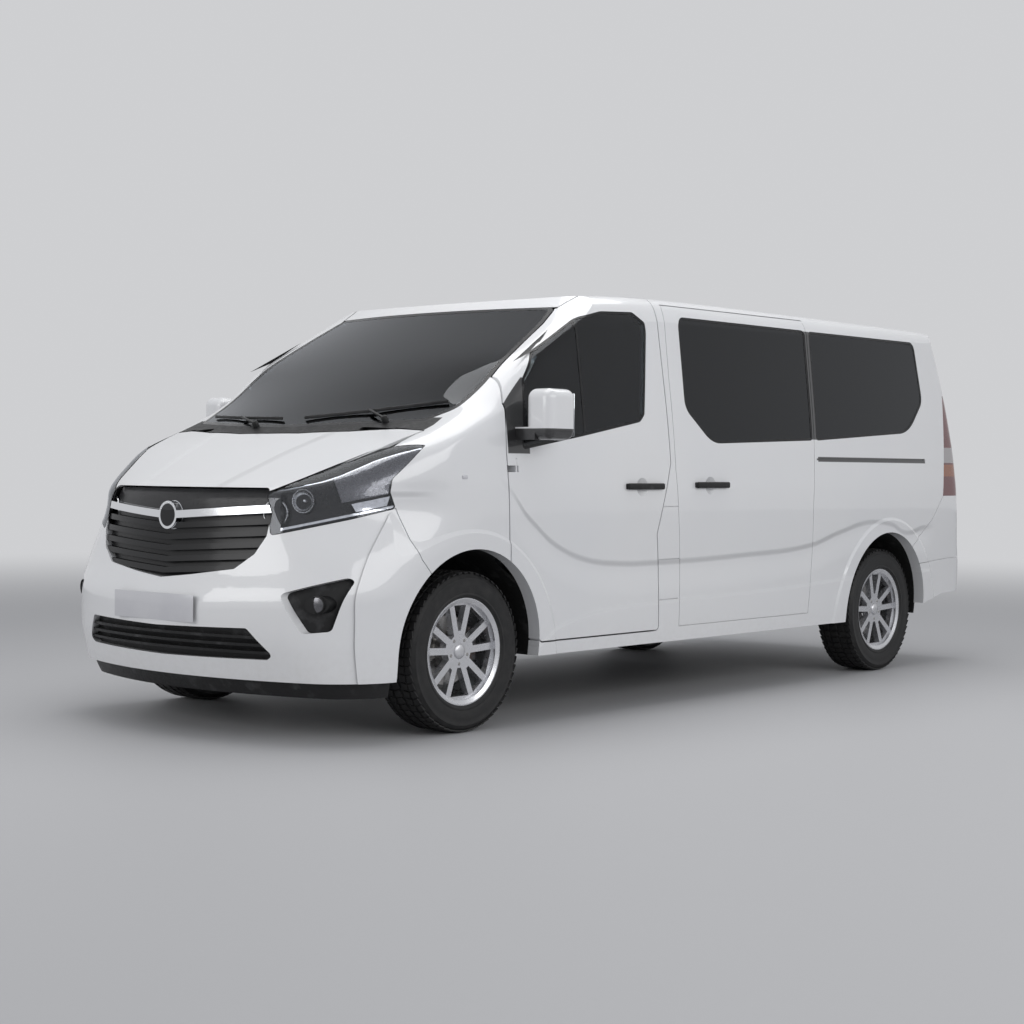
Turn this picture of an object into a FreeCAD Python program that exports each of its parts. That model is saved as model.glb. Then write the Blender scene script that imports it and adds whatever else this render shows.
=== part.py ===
import FreeCAD, Part
import Sketcher
import math
import os

Vec = FreeCAD.Vector

# Driving sizes, in millimetres, degrees or plain counts
sizeTable = [
    ("frontOverhang", 933, "front axle to the nose"),
    ("wheelbase", 3498, "front axle to rear axle"),
    ("rearOverhang", 968, "rear axle to the rear bumper"),
    ("bodyWidth", 1940, "width of the body sides without the arch flares"),
    ("roofHeight", 1971, "height of the roof above the ground"),
    ("wallThickness", 55, "thickness of the doors and side walls"),
    ("roofThickness", 40, "thickness of the roof with its lining"),
    ("bonnetThickness", 30, "thickness of the bonnet"),
    ("glassThickness", 6, "thickness of the window glass"),
    ("glassInset", 3, "depth of the glass below the paint"),
    ("doorGap", 7, "gap round a door that opens"),
    ("tailgateGap", 12, "gap above the tailgate"),
    ("tailgateHingeDrop", 60, "tailgate hinge pins below the top edge of the tailgate"),
    ("tailgateHingeDepth", 29, "tailgate hinge pins inside the skin at the middle"),
    ("bonnetOpening", 55, "how far the bonnet opens"),
    ("cowlGap", 2, "extra gap between the cowl and the bonnet"),
    ("cowlRelief", 34, "room in the cowl round the bonnet hinge line"),
    ("cowlCornerRelief", 46, "room in the cowl for the bonnet's rear corners"),
    ("bonnetHingeDepth", 14, "bonnet hinge pins below the skin"),
    ("bonnetHingeLeg", 75, "height of a bonnet hinge arm below its pin"),
    ("hingeReach", 82, "how far a tailgate hinge arm reaches forward"),
    ("seatGap", 0.3, "gap between pieces that seat on each other"),
    ("runningGap", 0.3, "gap of a pin in its barrel"),
    ("overrun", 60, "how far a cutting tool passes the surface"),
    ("sillHeight", 300, "underside of the sills above the ground"),
    ("floorTop", 480, "top of the cabin floor above the ground"),
    ("floorThickness", 60, "thickness of the floor pan"),
    ("archRadius", 438, "opening of the wheel arch"),
    ("flareReach", 8, "how far the arch flares stand out"),
    ("flareWidth", 58, "width of an arch flare round the opening"),
    ("flareSlope", 2.2, "run of the flare's outer edge for each unit of reach"),
    ("seamWidth", 4, "width of the shut lines of fixed panels"),
    ("seamDepth", 8, "depth of the shut lines of fixed panels"),
    ("cupRadius", 46, "radius of the recess behind a door handle"),
    ("cupDepth", 14, "depth of the recess behind a door handle"),
    ("valanceInset", 30, "black valance behind the bumper skin"),
    ("valanceThickness", 40, "thickness of the black valance"),
    ("slatCount", 5, "slats of the upper grille"),
    ("badgeRadius", 59, "radius of the bare round badge"),
    ("fogLampRadius", 36, "radius of a fog lamp"),
    ("linerThickness", 12, "thickness of the wheel housing"),
    ("frontHousingInner", 500, "inner wall of the front wheel housing from the middle"),
    ("rearHousingInner", 650, "inner wall of the rear wheel housing from the middle"),
    ("trackWidth", 1620, "distance between the wheel centres across"),
    ("tyreRadius", 345, "outer radius of the tyre"),
    ("tyreWidth", 215, "section width of the tyre"),
    ("tyreShoulder", 26, "corner radius of the tyre tread"),
    ("tyreCrown", 5, "rise of the tread at its middle"),
    ("rimLipRadius", 232, "outer radius of the rim lip"),
    ("rimSeatRadius", 216, "radius where the tyre bead sits"),
    ("rimWellRadius", 190, "radius of the rim well"),
    ("rimWidth", 190, "width of the rim between the lips"),
    ("rimWall", 8, "wall of the rim barrel"),
    ("rimDish", 30, "how far the spokes lie inside the outer lip"),
    ("hubRadius", 72, "radius of the wheel centre"),
    ("hubThickness", 36, "thickness of the wheel centre"),
    ("hubBoreRadius", 28, "bore for the hub nose"),
    ("spokePairs", 5, "number of spoke pairs"),
    ("spokeWidth", 30, "width of one spoke"),
    ("spokeThickness", 24, "thickness of one spoke"),
    ("spokeSpread", 15, "half angle between the spokes of a pair"),
    ("boltCircle", 108, "pitch circle of the wheel bolts"),
    ("boltHole", 14, "diameter of a wheel bolt hole"),
    ("discRadius", 150, "radius of the brake disc"),
    ("discThickness", 26, "thickness of the brake disc"),
    ("knuckleHeight", 260, "height of the steering knuckle"),
    ("knuckleWidth", 90, "width of the steering knuckle"),
    ("knuckleThickness", 50, "thickness of the steering knuckle"),
    ("stubRadius", 27.9, "radius of the hub nose that carries the wheel"),
    ("kingpinInset", 150, "steering axis inside the wheel centre plane"),
    ("axleTubeRadius", 45, "radius of the rear axle tube"),
    ("kingpinRadius", 14, "radius of the pin on the steering axis"),
    ("strutRadius", 30, "radius of a front strut"),
    ("armHeight", 36, "height of the subframe and its lower arms"),
    ("subframeLength", 420, "length of the front subframe"),
    ("trailingArm", 420, "length of a trailing arm"),
    ("armSpread", 560, "trailing arms from the middle"),
    ("armWidth", 80, "width of a lower arm"),
    ("exhaustRadius", 28, "radius of the exhaust pipe"),
    ("exhaustBend", 120, "bend radius of the exhaust pipe"),
    ("silencerRadius", 90, "radius of the silencer"),
    ("silencerLength", 480, "length of the silencer"),
    ("tankLength", 900, "length of the fuel tank"),
    ("tankWidth", 420, "width of the fuel tank"),
    ("tankHeight", 170, "height of the fuel tank"),
    ("tankOffset", 90, "inner side of the fuel tank from the middle"),
    ("engineLength", 480, "length of the engine block"),
    ("engineWidth", 760, "width of the engine with its gearbox"),
    ("engineHeight", 520, "height of the engine block"),
    ("engineForward", 150, "engine ahead of the front axle"),
    ("bulkheadThickness", 50, "thickness of the wall behind the engine"),
    ("dashDepth", 380, "depth of the dashboard"),
    ("dashMargin", 70, "how far the dashboard ends keep off the side walls"),
    ("rackSpacingX", 1500, "roof rack fixings apart along the roof"),
    ("rackSpacingY", 1180, "roof rack fixings apart across the roof"),
    ("rackHoleRadius", 4, "radius of a roof rack fixing hole"),
    ("rackHoleDepth", 25, "depth of a roof rack fixing hole"),
    ("dashHeight", 420, "height of the dashboard"),
    ("steeringRadius", 190, "radius of the steering wheel"),
    ("steeringGrip", 14, "radius of the steering wheel grip"),
    ("steeringTilt", 38, "lean of the steering column from the level"),
    ("columnRadius", 30, "radius of the steering column"),
    ("columnLength", 420, "length of the steering column"),
    ("seatWidth", 500, "width of one front seat"),
    ("seatDepth", 500, "depth of a seat cushion"),
    ("cushionThickness", 150, "thickness of a seat cushion"),
    ("cushionTop", 800, "top of the seat cushions above the ground"),
    ("backHeight", 620, "height of a seat back"),
    ("backThickness", 130, "thickness of a seat back"),
    ("backLean", 14, "lean of the seat backs"),
    ("headrestWidth", 260, "width of a headrest"),
    ("headrestHeight", 170, "height of a headrest"),
    ("headrestThickness", 100, "thickness of a headrest"),
    ("seatFoot", 60, "how far the seat base stands inside the cushion"),
    ("seatSide", 420, "middle of a front seat from the middle of the cabin"),
    ("benchNarrowing", 120, "how far the last bench keeps off the wheel housings"),
    ("cushionRound", 35, "rounding of the seat cushions"),
    ("benchWidth", 1500, "width of the rear benches"),
    ("hingeSetback", 45, "door hinge pin behind the front edge of the door"),
    ("hingeDepth", 16, "door hinge pin inside the widest line of the body"),
    ("hingePinRadius", 5, "radius of a hinge pin"),
    ("hingeBarrelRadius", 9, "radius of a hinge barrel"),
    ("hingeArmHeight", 24, "height of a hinge arm"),
    ("hingeBarrelHeight", 30, "height of one hinge barrel"),
    ("hingePlay", 2, "end play and clearance beside a hinge arm"),
    ("antennaRadius", 3, "radius of the aerial whip"),
    ("antennaLength", 180, "length of the aerial whip"),
    ("grilleDepth", 45, "depth of the grille inserts"),
    ("lampDepth", 90, "depth of the headlamps"),
    ("mirrorReach", 171, "how far a door mirror stands out"),
    ("mirrorDepth", 140, "depth of a door mirror"),
    ("mirrorHeight", 222, "height of a door mirror"),
    ("mirrorRound", 42, "rounding of a door mirror"),
]

doc = FreeCAD.newDocument("minibus")
sheet = doc.addObject("Spreadsheet::Sheet", "sizes")
for number, (alias, value, meaning) in enumerate(sizeTable, start=1):
    sheet.set(f"A{number}", meaning)
    sheet.set(f"B{number}", str(value))
    sheet.setAlias(f"B{number}", alias)
doc.recompute()


class SheetSizes:
    """Reads a named size from the sheet."""

    def __getattr__(self, alias):
        return float(sheet.get(alias))


size = SheetSizes()
halfWidth = size.bodyWidth / 2
noseX = (size.frontOverhang + size.wheelbase + size.rearOverhang) / 2
frontAxleX = noseX - size.frontOverhang
rearAxleX = frontAxleX - size.wheelbase
wheelY = size.trackWidth / 2
nodes = {}


def station(share):
    """X of a place: -1 is the nose, 0 the front axle, 1 the rear axle, 2 the tail."""
    if share < 0:
        return frontAxleX - share * size.frontOverhang
    if share <= 1:
        return frontAxleX - share * size.wheelbase
    return rearAxleX - (share - 1) * size.rearOverhang


def level(share):
    return share * size.roofHeight


def side(share):
    return share * halfWidth


def checked(shape):
    if shape.Volume < 0:
        shape.reverse()
    return shape


def place(label, shape):
    feature = doc.addObject("Part::Feature", label)
    feature.Label = label
    feature.Shape = shape
    nodes[label] = feature
    return feature


# Body form: one row of control points for each level, from the ground up.
# Shares: level, nose, corner radius, sweep of the nose, half width, tail, tail corner
bodyShares = [
    (0.076, 0.853, 0.163, 0.222, 0.945, 0.927, 0.11),
    (0.107, 0.903, 0.196, 0.227, 0.958, 0.963, 0.11),
    (0.132, 0.929, 0.223, 0.231, 0.968, 0.990, 0.11),
    (0.162, 0.949, 0.255, 0.236, 0.975, 1.004, 0.11),
    (0.203, 0.988, 0.305, 0.240, 0.983, 1.004, 0.11),
    (0.254, 1.008, 0.362, 0.242, 0.990, 1.002, 0.11),
    (0.304, 0.999, 0.379, 0.215, 0.995, 0.996, 0.11),
    (0.345, 0.954, 0.391, 0.210, 0.999, 0.973, 0.11),
    (0.386, 0.939, 0.401, 0.233, 1.002, 0.965, 0.11),
    (0.431, 0.934, 0.424, 0.294, 1.003, 0.961, 0.11),
    (0.477, 0.931, 0.447, 0.359, 1.003, 0.957, 0.11),
    (0.507, 0.928, 0.435, 0.354, 1.002, 0.952, 0.11),
    (0.525, 0.894, 0.416, 0.339, 1.001, 0.950, 0.11),
    (0.540, 0.836, 0.377, 0.299, 0.999, 0.947, 0.11),
    (0.558, 0.752, 0.329, 0.250, 0.996, 0.944, 0.11),
    (0.583, 0.638, 0.265, 0.197, 0.992, 0.940, 0.11),
    (0.609, 0.516, 0.200, 0.156, 0.988, 0.936, 0.11),
    (0.634, 0.385, 0.159, 0.154, 0.983, 0.930, 0.11),
    (0.654, 0.283, 0.139, 0.177, 0.979, 0.924, 0.11),
    (0.675, 0.199, 0.123, 0.202, 0.974, 0.917, 0.11),
    (0.710, 0.071, 0.118, 0.247, 0.966, 0.905, 0.11),
    (0.761, -0.106, 0.096, 0.204, 0.952, 0.884, 0.10),
    (0.812, -0.282, 0.080, 0.140, 0.937, 0.862, 0.10),
    (0.863, -0.465, 0.080, 0.145, 0.922, 0.840, 0.10),
    (0.913, -0.647, 0.085, 0.160, 0.907, 0.815, 0.10),
    (0.964, -0.829, 0.090, 0.175, 0.893, 0.785, 0.10),
    (1.015, -1.009, 0.095, 0.190, 0.878, 0.750, 0.10),
    (1.065, -1.190, 0.100, 0.205, 0.860, 0.710, 0.10),
]
noseShares = (0.0, 0.2, 0.4, 0.6, 0.8)
tailShares = (0.75, 0.5, 0.25, 0.0)
cornerSteps = 5
sideSteps = 14
planCrownShare = 0.016
tailSweepShare = 0.03


def bodyRow(row, inset):
    """Control points of one level, all the way round."""
    levelShare, noseShare, cornerShare, sweepShare, widthShare, tailShare, tailCornerShare = row
    front = frontAxleX + noseShare * size.frontOverhang - inset
    back = rearAxleX - tailShare * size.rearOverhang + inset
    flank = side(widthShare) - inset
    corner = side(cornerShare) - inset / 2
    tailCorner = side(tailCornerShare) - inset / 2
    points = []

    def noseX_(y):
        return front - side(sweepShare) * (y / side(widthShare)) ** 2

    def tailX_(y):
        return back + side(tailSweepShare) * (y / side(widthShare)) ** 2

    for share in noseShares:
        y = share * (flank - corner)
        points.append((noseX_(y), y))
    for step in range(cornerSteps + 1):
        turn = math.radians(90) * step / cornerSteps
        y = flank - corner * (1 - math.sin(turn))
        points.append((noseX_(y) - corner * (1 - math.cos(turn)), y))
    start = points[-1][0]
    end = tailX_(flank) + tailCorner
    for step in range(1, sideSteps):
        points.append((start + (end - start) * step / sideSteps, flank))
    for step in range(cornerSteps + 1):
        turn = math.radians(90) * (cornerSteps - step) / cornerSteps
        y = flank - tailCorner * (1 - math.sin(turn))
        points.append((tailX_(y) + tailCorner * (1 - math.cos(turn)), y))
    for share in tailShares:
        y = share * (flank - tailCorner)
        points.append((tailX_(y), y))
    middle = (frontAxleX + rearAxleX) / 2
    crowned = []
    for x, y in points:
        reach = (x - middle) / noseX
        crowned.append((x, y * (1 - planCrownShare * reach * reach)))
    loop = crowned + [(x, -y) for x, y in reversed(crowned[1:-1])]
    seam = len(crowned) + len(crowned) // 2
    return [Vec(x, y, level(levelShare)) for x, y in loop[seam:] + loop[:seam]]


def bodyColumn(inset):
    """Solid of the body form without its roof, drawn in by the inset."""
    rows = [bodyRow(row, inset) for row in bodyShares]
    around = len(rows[0])
    upward = len(rows)
    poles = [[rows[j][i] for j in range(upward)] for i in range(around)]
    surface = Part.BSplineSurface()
    surface.buildFromPolesMultsKnots(
        poles, [1] * (around + 1), [4] + [1] * (upward - 4) + [4],
        list(range(around + 1)), list(range(upward - 2)), True, False, 3, 3)
    lowRim = Part.Face(Part.Wire([surface.vIso(0).toShape()]))
    highRim = Part.Face(Part.Wire([surface.vIso(upward - 3).toShape()]))
    shell = Part.makeShell([surface.toShape(), lowRim, highRim])
    return checked(Part.makeSolid(shell))


# Roof form: the middle line from nose to tail, and its fall towards the sides
roofShares = [
    (-1.2, 0.88), (-0.8, 0.895), (-0.429, 0.913), (0.0, 0.934), (0.114, 0.951), (0.212, 0.969),
    (0.272, 0.987), (0.343, 0.9953), (0.429, 0.9993), (0.543, 1.0014), (0.715, 1.0014), (0.915, 1.0012),
    (1.209, 1.001), (1.570, 1.0), (1.777, 0.998), (2.035, 0.988), (2.345, 0.970),
]
roofFallShares = [
    (-1.15, 0.457), (-0.95, 0.149), (-0.895, 0.045), (-0.85, 0.014), (-0.79, 0.004), (-0.68, 0.003),
    (-0.49, 0.002), (-0.27, 0.001), (0.0, 0.0), (0.27, 0.001), (0.49, 0.002), (0.68, 0.003),
    (0.79, 0.004), (0.85, 0.014), (0.895, 0.045), (0.95, 0.149), (1.15, 0.457),
]


def roofBlock(inset):
    """Everything below the crowned roof surface, drawn in by the inset."""
    poles = []
    for stationShare, heightShare in roofShares:
        row = []
        for sideShare, fallShare in roofFallShares:
            y = side(sideShare) * (1 - inset / halfWidth)
            row.append(Vec(station(stationShare), y, level(heightShare - fallShare) - inset))
        poles.append(row)
    along = len(poles)
    across = len(poles[0])
    surface = Part.BSplineSurface()
    surface.buildFromPolesMultsKnots(
        poles, [4] + [1] * (along - 4) + [4], [4] + [1] * (across - 4) + [4],
        list(range(along - 2)), list(range(across - 2)), False, False, 3, 3)
    return checked(surface.toShape().extrude(Vec(0, 0, -2 * size.roofHeight)))


def bodyForm(inset, roofInset):
    return bodyColumn(inset).common(roofBlock(roofInset))


# Share of the half width from where the side pieces are cut
wallEdge = 0.45


# Share of the half width from where the side windows are cut
pillarEdge = 0.70


def roundedLoop(points, radii):
    """Closed wire through points given as vectors, each corner rounded by its radius."""
    count = len(points)
    if not isinstance(radii, (list, tuple)):
        radii = [radii] * count
    cuts = []
    for index in range(count):
        corner = points[index]
        before = (points[index - 1] - corner)
        after = (points[(index + 1) % count] - corner)
        radius = radii[index]
        turn = before.getAngle(after)
        if radius <= 0 or abs(turn - math.pi) < math.radians(1):
            cuts.append((corner, None, corner))
            continue
        reach = radius / math.tan(turn / 2)
        reach = min(reach, before.Length * 0.49, after.Length * 0.49)
        radius = reach * math.tan(turn / 2)
        before.normalize()
        after.normalize()
        inward = before + after
        inward.normalize()
        centre = corner + inward * (radius / math.sin(turn / 2))
        cuts.append((corner + before * reach, centre - inward * radius, corner + after * reach))
    edges = []
    for index in range(count):
        first, middle, last = cuts[index]
        if middle is not None:
            edges.append(Part.Arc(first, middle, last).toShape())
        following = cuts[(index + 1) % count][0]
        if (following - last).Length > size.seatGap / 10:
            edges.append(Part.makeLine(last, following))
    return Part.Wire(edges)


def sidePrism(outlineShares, radii, grow=0, fromY=None, toY=None):
    """Cutting block with a side-view outline, reaching out through the left wall."""
    fromY = side(pillarEdge) if fromY is None else fromY
    toY = halfWidth + size.overrun if toY is None else toY
    points = [Vec(station(x), fromY, level(z)) for x, z in outlineShares]
    wire = roundedLoop(points, radii)
    if grow:
        wire = wire.makeOffset2D(grow)
    return checked(Part.Face(wire).extrude(Vec(0, toY - fromY, 0)))


def planPrism(points, fromZ, toZ):
    wire = Part.makePolygon([Vec(x, y, fromZ) for x, y in points + points[:1]])
    return checked(Part.Face(wire).extrude(Vec(0, 0, toZ - fromZ)))


def frontPrism(points, fromX, toX, radii=0, grow=0):
    wire = roundedLoop([Vec(fromX, y, z) for y, z in points], radii)
    if grow:
        wire = wire.makeOffset2D(grow)
    return checked(Part.Face(wire).extrude(Vec(toX - fromX, 0, 0)))


def box(x1, x2, y1, y2, z1, z2):
    low = Vec(min(x1, x2), min(y1, y2), min(z1, z2))
    return Part.makeBox(abs(x2 - x1), abs(y2 - y1), abs(z2 - z1), low)


def mirror(shape):
    return checked(shape.mirror(Vec(0, 0, 0), Vec(0, 1, 0)))


def skinLayer(tool, near, far):
    """The part of a tool along X between two depths under the skin of the nose."""
    front = bodyColumn(near).common(tool)
    rear = front.copy()
    rear.translate(Vec(near - far, 0, 0))
    return front.cut(rear)


outer = bodyForm(0, 0)
inner = bodyForm(size.wallThickness, size.roofThickness)
shell = outer.cut(inner)
glassOuter = bodyForm(size.glassInset, size.glassInset)
glassInner = bodyForm(size.glassInset + size.glassThickness, size.glassInset + size.glassThickness)


# Outlines in side view, as station and level shares
doorShares = [
    (0.129, 0.181), (0.062, 0.260), (0.062, 0.359), (0.058, 0.609), (0.062, 0.713), (0.073, 0.750),
    (0.080, 0.776), (0.060, 0.840), (0.100, 0.930), (0.200, 1.030), (0.405, 1.030), (0.400, 0.936),
    (0.400, 0.789), (0.401, 0.586), (0.367, 0.416), (0.381, 0.181),
]
doorGlassShares = [
    (0.089, 0.612), (0.100, 0.765), (0.134, 0.834), (0.229, 0.923), (0.278, 0.943), (0.347, 0.949),
    (0.370, 0.925), (0.371, 0.904), (0.348, 0.701), (0.337, 0.684), (0.211, 0.646),
]
glassFrom = 0.82
doorGlassRadii = (0.02, 0.1, 0.2, 0.3, 0.2, 0.05, 0.03, 0.2, 0.03, 0.05, 0.5)
slideShares = [
    (0.427, 0.188), (0.411, 0.570), (0.412, 0.790), (0.416, 0.938), (0.420, 0.976), (0.787, 0.980),
    (0.776, 0.653), (0.766, 0.480), (0.763, 0.188),
]
slideGlassShares = [
    (0.448, 0.950), (0.443, 0.722), (0.503, 0.637), (0.771, 0.653), (0.781, 0.952),
]
slideGlassRadii = (0.06, 0.1, 0.2, 0.02, 0.03)
quarterGlassShares = [
    (0.792, 0.951), (1.455, 0.954), (1.483, 0.777), (1.272, 0.684), (0.782, 0.653),
]
quarterGlassRadii = (0.03, 0.06, 0.1, 0.3, 0.02)


def scaled(shares):
    return [share * halfWidth for share in shares]


def archCut(axleX, radius, fromY):
    """Cutting block of a wheel arch: a round top on straight legs down to the ground."""
    centre = size.tyreRadius
    top = Part.Arc(Vec(axleX - radius, fromY, centre), Vec(axleX, fromY, centre + radius),
                   Vec(axleX + radius, fromY, centre)).toShape()
    feet = [Vec(axleX + radius, fromY, centre), Vec(axleX + radius, fromY, 0),
            Vec(axleX - radius, fromY, 0), Vec(axleX - radius, fromY, centre)]
    legs = [Part.makeLine(first, second) for first, second in zip(feet, feet[1:])]
    return checked(Part.Face(Part.Wire([top] + legs)).extrude(Vec(0, size.bodyWidth, 0)))


# Windscreen outline, seen from the front
windscreenShares = [(0.0, 0.660), (0.40, 0.665), (0.76, 0.673), (0.815, 0.700), (0.820, 0.765), (0.806, 0.833),
                    (0.765, 0.905), (0.718, 0.951), (0.0, 0.951)]
windscreenCorner = 0.05


def windscreenTool(grow):
    half = [(side(y), level(z)) for y, z in windscreenShares]
    loop = half + [(-y, z) for y, z in reversed(half) if y > 0]
    return frontPrism(loop, station(0.35), station(-0.5), side(windscreenCorner), grow)


bonnetShares = [(-0.96, 0.0), (-0.95, 0.25), (-0.83, 0.52), (-0.708, 0.61), (-0.558, 0.70), (-0.40, 0.787),
                (-0.165, 0.840), (-0.185, 0.70), (-0.265, 0.47), (-0.318, 0.20), (-0.325, 0.0)]


def bonnetTool(shrink):
    half = [(station(x), side(y)) for x, y in bonnetShares]
    loop = half + [(x, -y) for x, y in reversed(half[1:-1])]
    wire = Part.makePolygon([Vec(x, y, level(0.516)) for x, y in loop + loop[:1]])
    wire = wire.makeOffset2D(-shrink) if shrink else wire
    return checked(Part.Face(wire).extrude(Vec(0, 0, level(0.3))))


cowlShares = [(-0.40, 0.0), (-0.40, 0.83), (-0.10, 0.83), (0.012, 0.80), (0.012, 0.0)]


def cowlTool():
    half = [(station(x), side(y)) for x, y in cowlShares]
    return planPrism(half + [(x, -y) for x, y in reversed(half)], level(0.60), level(0.68))


# Headlamp outline, seen along the diagonal of the front corner
lampShares = [(-0.188, 0.514), (-0.050, 0.541), (0.116, 0.575), (0.284, 0.609), (0.4855, 0.650), (0.475, 0.616),
              (0.407, 0.580), (0.3375, 0.546), (0.3295, 0.519), (0.353, 0.485), (0.160, 0.462), (-0.172, 0.428)]


def lampTool(grow):
    along = Vec(-1, 1, 0).normalize()
    outward = Vec(1, 1, 0).normalize()
    base = Vec(frontAxleX, 0, 0) + outward * side(0.83)
    points = [base + along * side(t) + Vec(0, 0, level(z)) for t, z in lampShares]
    wire = roundedLoop(points, side(0.015))
    if grow:
        wire = wire.makeOffset2D(grow)
    return checked(Part.Face(wire).extrude(outward * side(1.2)))


upperGrilleShares = [(0.0, 0.523), (0.510, 0.523), (0.548, 0.475), (0.545, 0.427), (0.505, 0.390),
                     (0.415, 0.358), (0.18, 0.343), (0.0, 0.334)]
lowerGrilleShares = [(0.0, 0.234), (0.515, 0.239), (0.613, 0.184), (0.583, 0.174), (0.0, 0.170)]
fogShares = [(0.660, 0.311), (0.890, 0.349), (0.837, 0.236), (0.747, 0.231)]
bumperShares = [(-1.2, 0.128), (0.0, 0.128), (0.0, 0.300), (-0.286, 0.347), (-0.344, 0.379), (-0.388, 0.421),
                (-0.424, 0.485), (-0.60, 0.523), (-1.2, 0.523)]
rearBumperShares = [(1.22, 0.165), (1.302, 0.169), (1.706, 0.208), (2.2, 0.215), (2.2, 0.315), (1.728, 0.3125),
                    (1.288, 0.300), (1.22, 0.298)]


def frontTool(shares, radius, grow=0):
    half = [(side(y), level(z)) for y, z in shares]
    loop = half + [(-y, z) for y, z in reversed(half) if y > 0]
    return frontPrism(loop, station(-0.35), station(-1.5), radius, grow)


def oneFrontTool(shares, radius, grow=0):
    return frontPrism([(side(y), level(z)) for y, z in shares], station(-0.2), station(-1.5), radius, grow)


fit = size.seatGap
gap = size.doorGap
print("start cutting")

# Left half of the walls, open at the sills and the wheel arches; the right half is its mirror image
leftHalf = box(station(-2), station(3), 0, 2 * halfWidth, 0, 2 * size.roofHeight)
leftBlock = outer.common(leftHalf)
flareForm = bodyForm(-size.flareReach, 0)
for axleX in (frontAxleX, rearAxleX):
    reach = halfWidth + size.flareReach - side(0.9)
    narrow = size.archRadius + size.flareWidth
    cone = Part.makeCone(narrow + size.flareSlope * reach, narrow, reach, Vec(axleX, side(0.9), size.tyreRadius),
                         Vec(0, 1, 0))
    leftBlock = leftBlock.fuse(flareForm.common(cone))
print("flares", leftBlock.isValid(), len(leftBlock.Solids))
frontArch = archCut(frontAxleX, size.archRadius, size.frontHousingInner)
rearArch = archCut(rearAxleX, size.archRadius, size.rearHousingInner)
for arch in (frontArch, rearArch):
    leftBlock = leftBlock.cut(arch)
leftWalls = leftBlock.cut(inner.common(leftHalf))
print("left walls", leftWalls.isValid())

doorOpening = sidePrism(doorShares, side(0.025), 0, side(wallEdge))
doorOutline = sidePrism(doorShares, side(0.025), -gap, side(wallEdge))
doorWindow = sidePrism(doorGlassShares, scaled(doorGlassRadii), 0, side(glassFrom))
slideOpening = sidePrism(slideShares, side(0.03), 0, side(wallEdge))
slideOutline = sidePrism(slideShares, side(0.03), -fit, side(wallEdge))
roofLine = level(0.951)
roofEdgeShares = [(-0.2, 0.700), (0.220, 0.715), (0.257, 0.740), (0.306, 0.782), (0.380, 0.800), (2.5, 0.800)]


def roofStrip(grow):
    """The upper middle of the body between the roof ditches, where the roof panel lies."""
    half = [(station(x), side(y) + grow) for x, y in roofEdgeShares]
    return planPrism(half + [(x, -y) for x, y in reversed(half)], roofLine - grow, level(1.2))


slideWindow = sidePrism(slideGlassShares, scaled(slideGlassRadii))
quarterWindow = sidePrism(quarterGlassShares, scaled(quarterGlassRadii))
screenOpening = windscreenTool(0)
tailgateShares = [(0.0, 0.318), (0.80, 0.318), (0.845, 0.48), (0.845, 0.80), (0.80, 0.962), (0.0, 0.962)]
tailGlassShares = [(0.0, 0.66), (0.74, 0.66), (0.71, 0.905), (0.0, 0.925)]


def rearTool(shares, radius, grow=0):
    half = [(side(y), level(z)) for y, z in shares]
    loop = half + [(-y, z) for y, z in reversed(half) if y > 0]
    return frontPrism(loop, station(2.3), station(1.70), radius, grow)


tailOpening = rearTool(tailgateShares, side(0.05))
tailOutline = rearTool(tailgateShares, side(0.05), -gap).cut(
    box(station(1.5), station(2.3), -halfWidth, halfWidth, level(0.962) - size.tailgateGap, level(1.2)))
tailWindow = rearTool(tailGlassShares, side(0.06))
tailLampShares = [(1.66, 0.50), (1.75, 0.80), (2.3, 0.80), (2.3, 0.50)]
tailLampBlock = sidePrism(tailLampShares, 0, 0, side(wallEdge)).cut(tailOpening)

# Pieces that move or open, cut from the wall with a gap all round
door = leftWalls.common(doorOutline).cut(doorWindow).cut(windscreenTool(gap)).cut(roofStrip(gap))
slide = leftWalls.common(slideOutline).cut(slideWindow).cut(roofStrip(fit))
bonnet = outer.common(bonnetTool(gap)).cut(bodyForm(size.bonnetThickness, size.bonnetThickness)).cut(frontTool(upperGrilleShares, side(0.02), gap))
for tool in (lampTool(gap), mirror(lampTool(gap))):
    bonnet = bonnet.cut(tool)
tailgate = shell.common(tailOutline).cut(tailWindow)

# Fixed pieces of the front
frontEnd = leftWalls.common(box(station(0.3), station(-2), 0, 2 * halfWidth, 0, 2 * size.roofHeight))
lampPiece = frontEnd.common(lampTool(-fit)).cut(frontTool(upperGrilleShares, side(0.02), fit))
screenPiece = glassOuter.common(windscreenTool(-fit)).cut(glassInner)
for tool in (doorOpening, bonnetTool(0), screenOpening, lampTool(0)):
    frontEnd = frontEnd.cut(tool)
bumperBlock = sidePrism(bumperShares, 0, 0, 0)
cowlBlock = cowlTool()
bumperLeft = frontEnd.common(bumperBlock)
for tool in (frontTool(upperGrilleShares, side(0.02)), frontTool(lowerGrilleShares, side(0.02)),
             oneFrontTool(fogShares, side(0.02))):
    bumperLeft = bumperLeft.cut(tool)
frontEnd = frontEnd.cut(bumperBlock)
cowlLeft = frontEnd.common(cowlBlock)
aboveSills = box(station(-2), station(3), -size.overrun, 2 * halfWidth, size.sillHeight, 2 * size.roofHeight)
valance = skinLayer(box(station(-0.2), station(-2), -halfWidth, halfWidth, level(0.094), level(0.128) - fit),
                    size.valanceInset, size.valanceInset + size.valanceThickness)
for arch in (frontArch, mirror(frontArch)):
    valance = valance.cut(arch)
wing = frontEnd.cut(cowlBlock).common(aboveSills).common(box(station(0.1), station(-2), side(0.3), 2 * halfWidth, 0, level(0.83)))
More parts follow.
